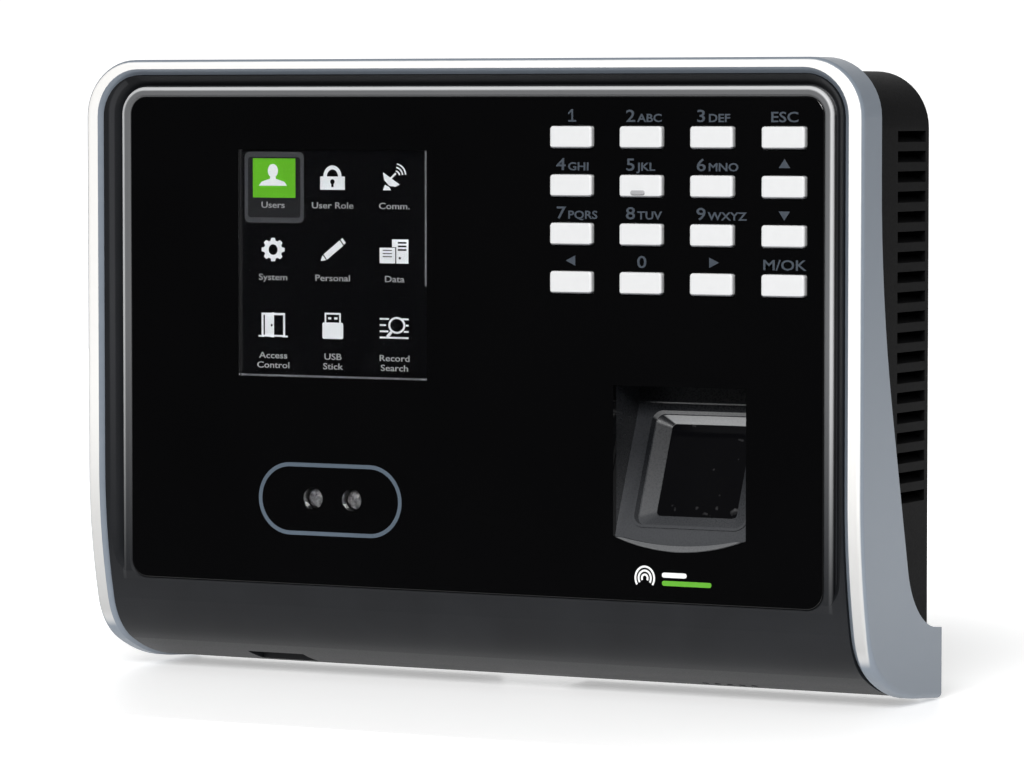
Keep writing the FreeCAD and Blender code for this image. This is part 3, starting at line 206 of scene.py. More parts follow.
class Fields:
    """Small helpers that build masks from a surface point's place, for one Shader."""

    def __init__(self, shader):
        self.shader = shader
        split = shader.node("ShaderNodeSeparateXYZ", Vector=shader.coords)
        self.x, self.y, self.z = split.outputs

    def math(self, kind, a, b=0.0):
        made = self.shader.tree.nodes.new("ShaderNodeMath")
        made.operation = kind
        for socket, value in zip(made.inputs, (a, b)):
            if hasattr(value, "is_output"):
                self.shader.tree.links.new(value, socket)
            else:
                socket.default_value = value
        return made.outputs[0]

    def ramp(self, value, start, full):
        """0 at start, 1 at full, smooth between them."""
        made = self.shader.node("ShaderNodeMapRange", Value=value)
        made.interpolation_type = "SMOOTHSTEP"
        made.inputs["From Min"].default_value = start
        made.inputs["From Max"].default_value = full
        return made.outputs["Result"]

    def both(self, *masks):
        made = masks[0]
        for mask in masks[1:]:
            made = self.math("MULTIPLY", made, mask)
        return made

    def length(self, a, b):
        squares = self.math("ADD", self.math("MULTIPLY", a, a), self.math("MULTIPLY", b, b))
        return self.math("SQRT", squares)

    def from_panel(self):
        """Distance outside the panel's rounded edge, at its top and sides."""
        qx = self.math("ADD", self.math("ABSOLUTE", self.x), PANEL_CORNER - panel_high.x)
        qz = self.math("ADD", self.z, PANEL_CORNER - panel_high.z)
        past = self.length(self.math("MAXIMUM", qx), self.math("MAXIMUM", qz))
        inside = self.math("MINIMUM", self.math("MAXIMUM", qx, qz), 0.0)
        return self.math("SUBTRACT", self.math("ADD", past, inside), PANEL_CORNER)

    def facing(self):
        """The surface normal's three parts."""
        normal = self.shader.tree.nodes.new("ShaderNodeNewGeometry").outputs["Normal"]
        return self.shader.node("ShaderNodeSeparateXYZ", Vector=normal).outputs

    def paint(self, under, over, mask):
        """Lays a plain colour over a colour socket where the mask is 1."""
        mix = self.shader.tree.nodes.new("ShaderNodeMix")
        mix.data_type = "RGBA"
        self.shader.tree.links.new(mask, mix.inputs["Factor"])
        self.shader.tree.links.new(under, mix.inputs["A"])
        mix.inputs["B"].default_value = (*over, 1.0)
        return mix.outputs["Result"]


def charcoal(s):
    """The plain dark tone that the bezel and the finger window share."""
    return s.tint(s.spread(s.noise(60.0, 2.0), 0.0, 1.0), (0.0085, 0.0092, 0.0108), (0.0115, 0.0124, 0.0145))


def bezel_plastic():
    """Charcoal plastic with a painted highlight on the lip round the panel and on a stripe in the side
    channel, less towards the bottom.
    """
    s = Shader("charcoal_plastic")
    f = Fields(s)
    away = f.from_panel()
    above = f.math("GREATER_THAN", f.z, panel_low.z - 0.6 * MM)
    highlight_fade = f.ramp(f.z, HIGHLIGHT_FADE_LOW, HIGHLIGHT_FADE_HIGH)
    lip_highlight = f.both(f.ramp(away, LIP_W * 1.02, LIP_W * 0.9), highlight_fade, above)
    edge = f.both(f.ramp(away, EDGE_HIGHLIGHT_NEAR, EDGE_HIGHLIGHT_FAR), lip_highlight)
    beside = f.math("GREATER_THAN", f.math("ABSOLUTE", f.x), panel_high.x)
    near = f.ramp(away, HIGHLIGHT_STRIPE_NEAR, HIGHLIGHT_STRIPE_NEAR + HIGHLIGHT_STRIPE_BLUR)
    far = f.ramp(away, HIGHLIGHT_STRIPE_FAR, HIGHLIGHT_STRIPE_FAR - HIGHLIGHT_STRIPE_BLUR)
    # painted highlight: a lighter stripe in the side channel for the lit edge of a ledge, fading towards the
    # bottom
    shade = f.paint(charcoal(s), (0.032, 0.033, 0.036), f.both(near, far, beside, highlight_fade))
    # painted highlight on the lip round the panel, fading towards the bottom
    shade = f.paint(shade, (0.12, 0.122, 0.126), lip_highlight)
    # a brighter painted highlight on the lip's outer edge
    shade = f.paint(shade, (0.5, 0.505, 0.51), edge)
    fine = s.noise(2600.0, 4.0, 0.6)
    s.set(Base_Color=shade, Roughness=s.spread(fine, 0.38, 0.46), Specular_IOR_Level=0.2)
    s.bump(fine, 0.10, 0.02 * MM)
    return s.material


def surround_plastic():
    """The finger window's moulding: dark, with painted highlights on its downward bevels, its lip and its
    lower part.
    """
    s = Shader("surround_plastic")
    f = Fields(s)
    facing = f.facing()
    down = f.ramp(facing[2], -0.15, -0.4)
    right = f.ramp(f.x, sensor_low.x + 3.0 * MM, sensor_low.x + 9.0 * MM)
    upper = f.ramp(f.z, UPPER_Z - 4.0 * MM, UPPER_Z)
    shine = f.both(down, right, upper)
    lip_highlight = f.both(f.ramp(f.y, PANEL_Y - 0.35 * MM, PANEL_Y - 0.6 * MM), f.ramp(facing[1], -0.6, -0.9))
    lower_painted_light = f.ramp(f.z, UPPER_Z, sensor_low.z + 2.0 * MM)
    # painted light: the lower part of the window is lighter
    shade = f.paint(charcoal(s), (0.05, 0.052, 0.056), lower_painted_light)
    # shine is a painted highlight on the bevels that face down, in the upper part away from the left side
    shade = f.paint(shade, (0.36, 0.365, 0.37), shine)
    # painted highlight on the lip's front face
    shade = f.paint(shade, (0.11, 0.112, 0.116), lip_highlight)
    fine = s.noise(2600.0, 4.0, 0.6)
    s.set(Base_Color=shade, Roughness=s.spread(fine, 0.24, 0.32), Specular_IOR_Level=0.35)
    s.bump(fine, 0.08, 0.02 * MM)
    return s.material


def speckled_glass():
    """Coated dark glass with a few pale smudges."""
    s = Shader("sensor_dark_glass")
    f = Fields(s)
    spot = s.node("ShaderNodeMapRange", Value=s.noise(330.0, 2.0, 0.6))
    for key, number in (("From Min", 0.67), ("From Max", 0.80), ("To Min", 0.0), ("To Max", 1.0)):
        spot.inputs[key].default_value = number
    coating = s.tint(s.noise(60.0), (0.0015, 0.0015, 0.002), (0.003, 0.003, 0.0035))
    smudge = f.paint(coating, (0.06, 0.06, 0.062), spot.outputs["Result"])
    s.set(Base_Color=smudge, Roughness=s.spread(s.noise(200.0), 0.05, 0.08), Specular_IOR_Level=0.3)
    return s.material


def key_plastic():
    """Pearl white caps with painted shade in grey on their lower bevels, and grey painted on the touch mark.
    """
    s = Shader("key_white")
    f = Fields(s)
    facing = f.facing()
    fine = s.noise(500.0, 4.0, 0.6)
    shade = s.tint(fine, (0.655, 0.66, 0.665), (0.70, 0.705, 0.71))
    # painted shade in grey on the bevels that face down
    shade = f.paint(shade, (0.19, 0.195, 0.21), f.ramp(facing[2], -0.15, -0.45))
    shade = f.paint(shade, (0.36, 0.36, 0.37), f.ramp(f.y, KEY_FRONT - 0.05 * MM, KEY_FRONT - 0.15 * MM))
    s.set(Base_Color=shade, Roughness=s.spread(fine, 0.32, 0.38), Coat_Weight=0.2, Coat_Roughness=0.1)
    return s.material


def silver_with_rim_highlight():
    """Satin grey-blue on the sides; the polished front of the rim is painted white as its highlight, duller
    towards the bottom.
    """
    s = Shader("silver_paint")
    f = Fields(s)
    streak = s.noise(500.0, 4.0, 0.6)
    side = s.tint(streak, (0.19, 0.222, 0.265), (0.22, 0.252, 0.295))
    # front: a painted highlight in white on the rim's polished forward-facing face
    front = f.ramp(f.facing()[1], -0.72, -0.92)
    low = f.ramp(f.z, RIM_HIGHLIGHT_FADE_HIGH, RIM_HIGHLIGHT_FADE_LOW)
    shade = f.paint(side, (0.93, 0.92, 0.90), front)
    # the painted highlight on the rim's front turns duller towards the bottom
    shade = f.paint(shade, (0.42, 0.42, 0.42), f.both(front, low))
    s.set(Base_Color=shade, Metallic=0.15, Roughness=s.spread(streak, 0.34, 0.42))
    s.bump(streak, 0.02, 0.01 * MM)
    return s.material


MATERIALS = {
    "charcoal_plastic": bezel_plastic(),
    "silver_paint": silver_with_rim_highlight(),
    "black_plastic": plastic("black_plastic", (0.0035, 0.0035, 0.0038), 0.55, 1800.0, 0.06, shine=0.04),
    "black_gloss": panel_gloss(),
    "adhesive_tape": plastic("adhesive_tape", (0.02, 0.02, 0.02), 0.7),
    "clear_window": glass("clear_window", (0.93, 0.94, 0.95), 0.02),
    "display_glass": plastic("display_glass", (0.003, 0.003, 0.0035), 0.3, 400.0),
    "white_plastic": plastic("white_plastic", (0.75, 0.75, 0.73), 0.45),
    "polyimide": plastic("polyimide", (0.45, 0.18, 0.03), 0.3, 300.0),
    "circuit_board": board_green(),
    "dome_steel": metal("dome_steel", (0.6, 0.6, 0.6), 0.25),
    "ring_grey": plastic("ring_grey", (0.085, 0.11, 0.14), 0.3, 800.0),
    "dark_window": glass("dark_window", (0.9, 0.9, 0.9), 0.03),
    "lens_black": plastic("lens_black", (0.012, 0.012, 0.013), 0.3),
    "sensor_dark_glass": speckled_glass(),
    "prism_glass": glass("prism_glass", (0.8, 0.82, 0.85), 0.05),
    "screw_steel": metal("screw_steel", (0.55, 0.55, 0.56), 0.28),
    "shield_tin": metal("shield_tin", (0.62, 0.62, 0.6), 0.3, (1, 1, 8)),
    "header_green": plastic("header_green", (0.015, 0.2, 0.07), 0.4),
    "button_red": plastic("button_red", (0.45, 0.02, 0.02), 0.4),
    "plate_steel": metal("plate_steel", (0.42, 0.43, 0.45), 0.38, (8, 1, 1)),
    "key_white": key_plastic(),
}
for entry in frame["record"]["subparts"]:
    owner = nodes[entry["node"]]
    owner.data.materials.clear()
    owner.data.materials.append(MATERIALS[entry["material_slot"]])
surround = nodes["sensor_surround"]
surround.data.materials.clear()
surround.data.materials.append(surround_plastic())

PRINT = ink("label_ink", (0.045, 0.057, 0.074))
WHITE_GLOW = ink("display_white", (0.66, 0.67, 0.68), 0.7)
GREY_GLOW = ink("display_grey", (0.36, 0.36, 0.36), 0.45)
LINE_GLOW = ink("display_line", (0.16, 0.16, 0.17), 0.45)
TILE_GLOW = ink("display_tile", (0.06, 0.061, 0.066), 0.5)
TILE_DARK = ink("display_tile_dark", (0.02, 0.02, 0.022), 0.5)
GREEN_GLOW = ink("display_green", (0.11, 0.40, 0.02), 0.6)
BLACK_GLOW = ink("display_black", (0.003, 0.003, 0.0035), 0.5)
MARK_WHITE = ink("mark_white", (0.85, 0.85, 0.85))
MARK_GREEN = ink("mark_green", (0.10, 0.36, 0.02))


# ---- flat marks -------------------------------------------------------------------------------------
def mesh_from(name, verts, faces):
    data = bpy.data.meshes.new(name)
    data.from_pydata(verts, [], faces)
    data.update()
    obj = bpy.data.objects.new(name, data)
    bpy.context.scene.collection.objects.link(obj)
    return obj


def dress(obj, material, body="terminal"):
    obj.data.materials.clear()
    obj.data.materials.append(material)
    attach(obj, body)
    return obj


class Marks:
    """Flat closed pieces that stand a little off the face at y, from outlines of (x, z) points."""

    def __init__(self, y, cx=0.0, cz=0.0, unit=MM, rise=None):
        self.y, self.cx, self.cz, self.unit = y, cx, cz, unit
        self.rise = SKIN if rise is None else rise
        self.verts, self.faces = [], []

    def add(self, outline, layer=1):
        """One filled outline, in units from the centre, counter-clockwise from the front."""
        n, base = len(outline), len(self.verts)
        front = self.y - self.rise * layer
        places = [(self.cx + x * self.unit, self.cz + z * self.unit) for x, z in outline]
        self.verts += [(x, front, z) for x, z in places] + [(x, self.y, z) for x, z in places]
        self.faces.append(tuple(base + i for i in range(n)))
        self.faces.append(tuple(base + i for i in range(2 * n - 1, n - 1, -1)))
        self.faces += [(base + i, base + i + n, base + (i + 1) % n + n, base + (i + 1) % n) for i in range(n)]
        return self

    def band(self, outer, inner, closed=True, layer=1):
        """The strip between two outlines with as many points each."""
        n = len(outer)
        for i in range(n if closed else n - 1):
            j = (i + 1) % n
            self.add([outer[i], outer[j], inner[j], inner[i]], layer)
        return self

    def done(self, name, material, slot="black_gloss"):
        return dress(mesh_from(name, self.verts, self.faces), material)


def oval(cx, cz, rx, rz, start=0, end=360, steps=20):
    """Points round an oval, anticlockwise; a full turn leaves out the repeated last point."""
    last = steps if end - start < 360 else steps - 1
    turn = [math.radians(start + (end - start) * i / steps) for i in range(last + 1)]
    return [(cx + rx * math.cos(a), cz + rz * math.sin(a)) for a in turn]


def rect(x0, x1, z0, z1):
    return [(x0, z0), (x1, z0), (x1, z1), (x0, z1)]


def soft_rect(x0, x1, z0, z1, r, steps=4):
    points = []
    corners = ((x1 - r, z0 + r, -90), (x1 - r, z1 - r, 0), (x0 + r, z1 - r, 90), (x0 + r, z0 + r, 180))
    for cx, cz, start in corners:
        points += oval(cx, cz, r, r, start, start + 90, steps)
    return points


def stroke(x0, z0, x1, z1, width):
    """A straight bar from one point to another."""
    run = math.hypot(x1 - x0, z1 - z0)
    ox, oz = (z1 - z0) / run * width / 2, -(x1 - x0) / run * width / 2
    return [(x0 + ox, z0 + oz), (x1 + ox, z1 + oz), (x1 - ox, z1 - oz), (x0 - ox, z0 - oz)]


CAPITAL = 0.73              # height of the font's capitals at size 1


def text(name, words, x, z, height, material, y=None, align="CENTER", squeeze=1.0, weight=0.0):
    """Raised lettering whose capitals are height tall; z is the baseline."""
    face = PANEL_Y if y is None else y
    curve = bpy.data.curves.new(name, "FONT")
    curve.body = words
    curve.size = height / CAPITAL
    curve.align_x = align
    curve.extrude = SKIN / 2
    curve.offset = weight
    curve.resolution_u = 3
    obj = bpy.data.objects.new(name, curve)
    obj.matrix_world = (
        Matrix.Translation((x, face - SKIN / 2, z)) @ Matrix.Rotation(math.radians(90), 4, "X")
        @ Matrix.Diagonal((squeeze, 1, 1, 1)))
    bpy.context.scene.collection.objects.link(obj)
    return dress(obj, material)


# ---- keypad labels ----------------------------------------------------------------------------------
LABELS = {
    "key_1": ("1", ""), "key_2": ("2", "ABC"), "key_3": ("3", "DEF"),
    "key_4": ("4", "GHI"), "key_5": ("5", "JKL"), "key_6": ("6", "MNO"),
    "key_7": ("7", "PQRS"), "key_8": ("8", "TUV"), "key_9": ("9", "WXYZ"),
    "key_0": ("0", ""), "key_esc": ("", "ESC"), "key_ok": ("", "M/OK"),
}
ARROWS = {"key_up": 90, "key_down": -90, "key_left": 180, "key_right": 0}
DIGIT_H, WORD_H, ONLY_WORD_H = 2.75 * MM, 1.8 * MM, 2.3 * MM
LABEL_UP, LABEL_LEFT = 3.4 * MM, 4.0 * MM       # from the key's centre to the label's baseline and left end
LETTERS_SHIFT = 2.9 * MM                        # from the digit's left end to the letters
for key in [*LABELS, *ARROWS]:
    low, high = (Vector(p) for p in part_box(key))
    cx = (low.x + high.x) / 2
    base = (low.z + high.z) / 2 + LABEL_UP
    if key in ARROWS:
        tip = math.radians(ARROWS[key])
        turns = [tip + math.radians(t) for t in (0, 120, 240)]
        points = [(1.55 * math.cos(t), 1.3 * math.sin(t)) for t in turns]
        Marks(PANEL_Y, cx, base + DIGIT_H / 2).add(points).done("label_" + key, PRINT)
        continue
    digit, letters = LABELS[key]
    if digit and letters:
        left = cx - LABEL_LEFT
        text("digit_" + key, digit, left, base, DIGIT_H, PRINT, align="LEFT", squeeze=1.3, weight=0.04 * MM)
        text("letters_" + key, letters, left + LETTERS_SHIFT, base, WORD_H, PRINT, align="LEFT", squeeze=1.25,
             weight=0.05 * MM)
    elif digit == "1":
        one = Marks(PANEL_Y, cx, base)
        one.add(rect(-0.22, 0.22, 0.0, 2.75)).add([(-1.0, 1.95), (-1.0, 1.6), (-0.22, 2.15), (-0.22, 2.75)])
        one.add(rect(-0.95, -0.22, 0.0, 0.36)).add(rect(0.22, 0.95, 0.0, 0.36)).done("digit_" + key, PRINT)
    else:
        text("digit_" + key, digit or letters, cx, base, DIGIT_H if digit else ONLY_WORD_H, PRINT,
             squeeze=1.3, weight=0.04 * MM)

# ---- display picture, on the front of the display glass ---------------------------------------------
LAYER = 0.012 * MM          # each layer of the picture stands this far in front of the one under it
TILE_LAYER, SQUARE_LAYER, ICON_LAYER, CUT_LAYER = 2, 3, 4, 5
LEFT, RIGHT = window_low.x / MM, window_high.x / MM
LOW, HIGH = window_low.z / MM, window_high.z / MM
COLUMNS = [LEFT + 8.6, LEFT + 24.2, LEFT + 40.2]
ROWS = [HIGH - 6.3, HIGH - 22.7, HIGH - 39.8]


def picture(cx=0.0, cz=0.0):
    return Marks(SCREEN_Y, cx * MM, cz * MM, rise=LAYER)


picture().add(rect(LEFT + 0.1, RIGHT - 0.1, LOW + 0.1, HIGH - 0.1)).done(
    "screen_back", BLACK_GLOW, "display_glass")
TILE = (LEFT + 1.1, LEFT + 16.7, HIGH - 16.6, HIGH - 0.5)
outer = soft_rect(*TILE, 1.3)
inner = soft_rect(TILE[0] + 0.9, TILE[1] - 0.9, TILE[2] + 1.2, TILE[3] - 1.2, 0.7)
picture().band(outer, inner, layer=TILE_LAYER).done("menu_tile_edge", TILE_GLOW, "display_glass")
picture().add(inner, TILE_LAYER).done("menu_tile", TILE_DARK, "display_glass")
picture().add(rect(LEFT + 3.3, LEFT + 14.5, HIGH - 10.9, HIGH - 2.0), SQUARE_LAYER).done(
    "menu_square", GREEN_GLOW, "display_glass")
lines = picture().add(rect(RIGHT - 1.0, RIGHT - 0.5, HIGH - 30.4, HIGH - 0.1), TILE_LAYER)
lines.add(rect(LEFT + 0.1, RIGHT - 0.2, LOW + 0.1, LOW + 0.5), TILE_LAYER)
lines.done("menu_lines", LINE_GLOW, "display_glass")


def person(m):
    m.add(oval(0, 1.5, 1.35, 1.55), ICON_LAYER)
    m.add([(-0.7, 0.6), (-0.75, -0.3), (-3.0, -1.0), (-3.7, -1.9),
           (3.7, -1.9), (3.0, -1.0), (0.75, -0.3), (0.7, 0.6)], ICON_LAYER)


def padlock(m):
    m.add(rect(-3.2, 3.2, -2.7, 0.3), ICON_LAYER)
    m.band(oval(0, 0.3, 2.35, 2.5, 0, 180), oval(0, 0.3, 1.45, 1.6, 0, 180), False, ICON_LAYER)


def padlock_hole(m):
    m.add(oval(0, -0.9, 0.6, 0.6, steps=12), CUT_LAYER).add(rect(-0.3, 0.3, -2.1, -0.9), CUT_LAYER)


def dish(m):
    m.add([(-2.9, 1.3), (-2.6, -0.4), (-1.3, -1.7), (0.3, -1.9), (1.4, -1.4)], ICON_LAYER)
    m.add([(-2.4, -1.5), (-1.4, -1.9), (-0.8, -2.7), (-2.9, -2.7)], ICON_LAYER)
    m.add(stroke(-1.0, -0.1, 0.4, 1.1, 0.45), ICON_LAYER)
    for r in (1.1, 1.9, 2.7):
        m.band(oval(0.2, 0.6, r + 0.2, r + 0.1, 5, 80, 8), oval(0.2, 0.6, r - 0.15, r - 0.2, 5, 80, 8),
               False, ICON_LAYER)


def gear(m):
    teeth, out, back = 8, [], []
    for i in range(teeth):
        for shift, r in ((-16, 2.4), (-9, 3.05), (9, 3.05), (16, 2.4)):
            a = math.radians(360 / teeth * i + shift + 90)
            out.append((r * math.cos(a), r * math.sin(a) * 0.88))
            back.append((1.2 * math.cos(a), 1.35 * math.sin(a) * 0.9))
    m.band(out, back, True, ICON_LAYER)


def pen(m):
    m.add(stroke(-1.9, -1.5, 2.3, 1.7, 1.5), ICON_LAYER)
    m.add(stroke(2.5, 1.9, 3.0, 2.3, 1.4), ICON_LAYER)
    m.add([(-3.1, -2.4), (-1.7, -2.2), (-2.6, -1.1)], ICON_LAYER)


def papers(m):
    m.add(rect(-3.8, 0.2, -2.7, 0.8), ICON_LAYER)
    m.add(rect(0.5, 3.6, -2.7, 2.7), ICON_LAYER).add(rect(-0.6, 3.6, 0.95, 2.7), ICON_LAYER)


def papers_lines(m):
    for z in (0.1, -0.6, -1.3):
        m.add(rect(-3.0, -0.6, z, z + 0.2), CUT_LAYER)
    for z in (1.9, 1.1, 0.3):
        m.add(rect(0.9, 3.1, z - 0.15, z + 0.25), CUT_LAYER)
    m.add(oval(1.4, -1.5, 0.3, 0.3, steps=10), CUT_LAYER)


def door(m):
    m.band(rect(-3.1, 3.1, -2.7, 2.7), rect(-2.6, 2.6, -2.3, 2.2), True, ICON_LAYER)
    m.add([(-2.2, -2.6), (0.2, -2.9), (0.2, 2.9), (-2.2, 2.3)], ICON_LAYER)
    m.add(rect(-3.9, -2.4, -2.8, -2.4), ICON_LAYER).add(rect(2.4, 3.8, -2.8, -2.4), ICON_LAYER)


def door_knob(m):
    m.add(oval(-0.4, -0.1, 0.25, 0.3, steps=10), CUT_LAYER)


def stick(m):
    m.add(soft_rect(-2.7, 2.7, -2.9, 0.8, 0.4), ICON_LAYER)
    m.band(rect(-2.1, 2.1, 0.8, 3.0), rect(-1.7, 1.7, 0.8, 2.6), True, ICON_LAYER)
    m.add(rect(-1.2, -0.4, 1.5, 2.0), ICON_LAYER).add(rect(0.4, 1.2, 1.5, 2.0), ICON_LAYER)


def search(m):
    for z, x0, x1 in ((1.9, -3.8, -1.4), (0.5, -3.8, -2.2), (-0.9, -3.8, -1.6), (-2.3, -3.8, 3.6)):
        m.add(rect(x0, x1, z - 0.2, z + 0.2), ICON_LAYER)
    for z, x0, x1 in ((1.9, 1.9, 3.6), (0.5, 2.9, 3.6), (-0.9, 2.4, 3.6)):
        m.add(rect(x0, x1, z - 0.2, z + 0.2), ICON_LAYER)
    m.band(oval(0.6, 0.5, 2.2, 1.9), oval(0.6, 0.5, 1.7, 1.45), True, ICON_LAYER)
    m.add(stroke(-0.8, -1.0, -1.9, -2.2, 0.7), ICON_LAYER)


MENU = [
    ("users", person, None, ["Users"]), ("locks", padlock, padlock_hole, ["User Role"]),
    ("network", dish, None, ["Comm."]), ("system", gear, None, ["System"]),
    ("style", pen, None, ["Personal"]), ("data", papers, papers_lines, ["Data"]),
    ("doors", door, door_knob, ["Access", "Control"]), ("stick", stick, None, ["USB", "Stick"]),
    ("records", search, None, ["Record", "Search"]),
]
for i, (name, draw, cut, words) in enumerate(MENU):
    cx, cz = COLUMNS[i % 3], ROWS[i // 3]
    marks = picture(cx, cz)
    draw(marks)
    marks.done("icon_" + name, WHITE_GLOW, "display_glass")
    if cut:
        marks = picture(cx, cz)
        cut(marks)
        marks.done("icon_" + name + "_cut", BLACK_GLOW, "display_glass")
    for k, word in enumerate(words):
        base = cz - (6.9 if len(words) == 1 else 7.6 + 2.2 * k)
        text("menu_%s_%d" % (name, k), word, cx * MM, base * MM, 1.45 * MM, GREY_GLOW,
             y=SCREEN_Y - 2 * LAYER, squeeze=1.35, weight=0.015 * MM)

# ---- lens domes right behind the camera windows -----------------------------------------------------
LENS_RINGS, LENS_TURNS, LENS_R, LENS_BULGE = 6, 28, 2.1 * MM, 0.9 * MM
LENS_TIP_Y = windows_high.y + 0.05 * MM
glassy = Shader("lens_dome")
lens_glint_mottle = glassy.spread(glassy.noise(900.0, 3.0, 0.7), 0.0, 1.0)
# the mottle runs from the lens's own near black to mid grey, a painted glint
glassy.set(Base_Color=glassy.tint(lens_glint_mottle, (0.02, 0.02, 0.022), (0.50, 0.50, 0.53)))
glassy.set(Roughness=0.12, Coat_Weight=0.6)
lens_z = (windows_low.z + windows_high.z) / 2
window_r = (windows_high.z - windows_low.z) / 2
for name, lens_x in (("left", windows_low.x + window_r), ("right", windows_high.x - window_r)):
    verts, faces = [(lens_x, LENS_TIP_Y, lens_z)], []
    for i in range(1, LENS_RINGS + 1):
        r, y = LENS_R * i / LENS_RINGS, LENS_TIP_Y + LENS_BULGE * (i / LENS_RINGS) ** 2
        turns = [2 * math.pi * j / LENS_TURNS for j in range(LENS_TURNS)]
        verts += [(lens_x + r * math.cos(t), y, lens_z + r * math.sin(t)) for t in turns]
    for j in range(LENS_TURNS):
        k = (j + 1) % LENS_TURNS
        faces.append((0, 1 + j, 1 + k))
        for i in range(LENS_RINGS - 1):
            a, b = 1 + i * LENS_TURNS, 1 + (i + 1) * LENS_TURNS
            faces.append((a + j, b + j, b + k, a + k))
    faces.append(tuple(1 + (LENS_RINGS - 1) * LENS_TURNS + j for j in range(LENS_TURNS - 1, -1, -1)))
    dress(mesh_from("lens_dome_" + name, verts, faces), glassy.material)

# ---- a generic mark under the finger window ---------------------------------------------------------
mark_x, mark_z = sensor_low.x + 9.0 * MM, sensor_low.z - 4.2 * MM
ARCH_R, ARCH_HALF_W, ARCH_TALL = (0.7, 1.5, 2.3), 0.22, 1.1
marks = Marks(PANEL_Y, mark_x, mark_z)
for r in ARCH_R:
    outer = oval(0, -0.5, r + ARCH_HALF_W, r * ARCH_TALL + ARCH_HALF_W, -35, 215)
    inner = oval(0, -0.5, r - ARCH_HALF_W, r * ARCH_TALL - ARCH_HALF_W, -35, 215)
    marks.band(outer, inner, False)
marks.done("mark_print", MARK_WHITE)
Marks(PANEL_Y, mark_x, mark_z).add(soft_rect(4.2, 10.2, -0.2, 0.9, 0.5)).done("mark_bar_white", MARK_WHITE)
Marks(PANEL_Y, mark_x, mark_z).add(soft_rect(4.2, 16.2, -2.0, -0.9, 0.5)).done("mark_bar_green", MARK_GREEN)

# ---- light, floor, camera ---------------------------------------------------------------------------
AZIMUTH, ELEVATION = math.radians(28.0), math.radians(3.1276)
DISTANCE, LENS_MM, FILM_MM = 1.1313, 179.38, 36.0
AIM_X, AIM_BELOW_PANEL = 11.83 * MM, 8.26 * MM
target = Vector((AIM_X, PANEL_Y, (panel_low.z + panel_high.z) / 2 - AIM_BELOW_PANEL))
back = Vector((
    math.sin(AZIMUTH) * math.cos(ELEVATION), -math.cos(AZIMUTH) * math.cos(ELEVATION), math.sin(ELEVATION)))
camera_data = bpy.data.cameras.new("camera")
camera_data.sensor_width = FILM_MM
camera_data.lens = LENS_MM
camera = bpy.data.objects.new("camera", camera_data)
camera.location = target + back * DISTANCE
camera.rotation_euler = (-back).to_track_quat("-Z", "Y").to_euler()
bpy.context.scene.collection.objects.link(camera)
bpy.context.scene.camera = camera
bpy.context.scene.view_settings.view_transform = "Standard"

# the floor ends a little in front of the object, so the gloss panel doesn't mirror it towards the camera
FLOOR_R, FLOOR_FRONT, FLOOR_STEPS = 1.6, 0.07, 60
GLOW_NEAR, GLOW_FAR = 0.10, 0.30        # the floor's own light grows between these distances from the origin; the dimmer floor near the object is a painted shadow
edge_y = PANEL_Y - FLOOR_FRONT
half = math.sqrt(FLOOR_R ** 2 - edge_y ** 2)
start = math.atan2(edge_y, half)
edge = []
for i in range(FLOOR_STEPS + 1):
    a = start + (math.pi - 2 * start) * i / FLOOR_STEPS
    edge.append((FLOOR_R * math.cos(a), FLOOR_R * math.sin(a), FLOOR_Z))
floor = mesh_from("floor", edge, [tuple(range(len(edge)))])
floor_shader = Shader("floor_white")
speckle = floor_shader.noise(40.0, 2.0)
floor_shader.set(Base_Color=floor_shader.tint(speckle, (0.79, 0.79, 0.79), (0.81, 0.81, 0.81)))
floor_shader.set(Roughness=0.45)
floor_field = Fields(floor_shader)
away = floor_field.length(floor_field.x, floor_field.y)
# the floor glows as a light table; its light is dimmed near the object as a painted shadow
glow = floor_shader.tint(floor_field.ramp(away, GLOW_NEAR, GLOW_FAR), (0.42, 0.42, 0.42), (1.0, 1.0, 1.0))
floor_shader.set(Emission_Color=glow, Emission_Strength=1.0, Specular_IOR_Level=0.5)
floor.data.materials.append(floor_shader.material)


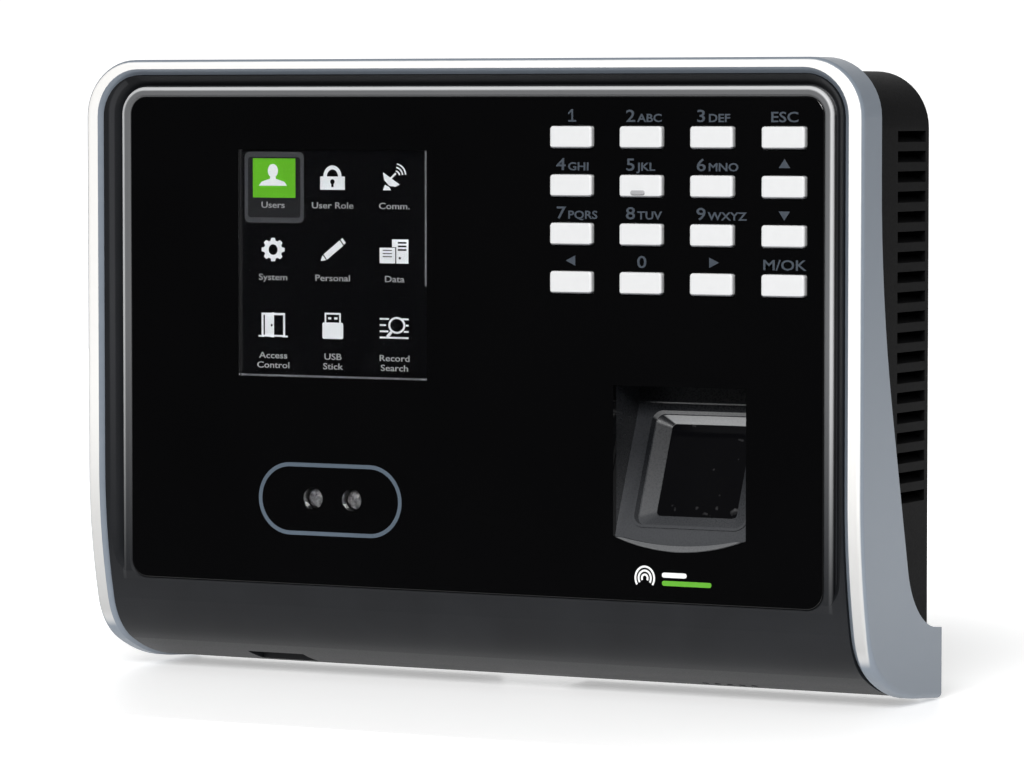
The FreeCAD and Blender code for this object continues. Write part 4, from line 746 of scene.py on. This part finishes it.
def soft_box(name, azimuth, elevation, distance, size, power):
    """A rectangular light that points at the object's centre."""
    data = bpy.data.lights.new(name, "AREA")
    data.shape = "RECTANGLE"
    data.size, data.size_y = size
    data.energy = power
    a, e = math.radians(azimuth), math.radians(elevation)
    way = Vector((math.sin(a) * math.cos(e), -math.cos(a) * math.cos(e), math.sin(e)))
    obj = bpy.data.objects.new(name, data)
    obj.location = way * distance
    obj.rotation_euler = (-way).to_track_quat("-Z", "Y").to_euler()
    bpy.context.scene.collection.objects.link(obj)


soft_box("front_box", azimuth=14, elevation=24, distance=1.4, size=(0.5, 0.4), power=22)

world = bpy.data.worlds.new("studio")
bpy.context.scene.world = world
world.use_nodes = True
tree = world.node_tree
background = tree.nodes["Background"]
direction = tree.nodes.new("ShaderNodeTexCoord").outputs["Generated"]


def lobe(way, start, full):
    """1 towards a direction, falling to 0 away from it; start and full are cosines."""
    dot = tree.nodes.new("ShaderNodeVectorMath")
    dot.operation = "DOT_PRODUCT"
    tree.links.new(direction, dot.inputs[0])
    dot.inputs[1].default_value = way
    ramp = tree.nodes.new("ShaderNodeMapRange")
    ramp.interpolation_type = "SMOOTHSTEP"
    ramp.inputs["From Min"].default_value = start
    ramp.inputs["From Max"].default_value = full
    tree.links.new(dot.outputs["Value"], ramp.inputs["Value"])
    return ramp.outputs["Result"]


def blend(amount, a, b):
    mix = tree.nodes.new("ShaderNodeMix")
    mix.data_type = "FLOAT"
    tree.links.new(amount, mix.inputs["Factor"])
    for socket, value in ((mix.inputs["A"], a), (mix.inputs["B"], b)):
        if hasattr(value, "is_output"):
            tree.links.new(value, socket)
        else:
            socket.default_value = value
    return mix.outputs["Result"]


AMBIENT, BACKDROP, FLAG = 0.30, 1.15, 0.0
BACKDROP_EDGE, FLAG_EDGE = (0.72, 0.92), (0.60, 0.88)
sx, sy = math.sin(AZIMUTH), math.cos(AZIMUTH)
light = blend(lobe((-sx, sy, 0.0), *BACKDROP_EDGE), AMBIENT, BACKDROP)  # white backdrop behind the object
light = blend(lobe((-sx, -sy, 0.0), *FLAG_EDGE), light, FLAG)           # black flag that the panel mirrors
tree.links.new(light, background.inputs["Strength"])
background.inputs["Color"].default_value = (1, 1, 1, 1)
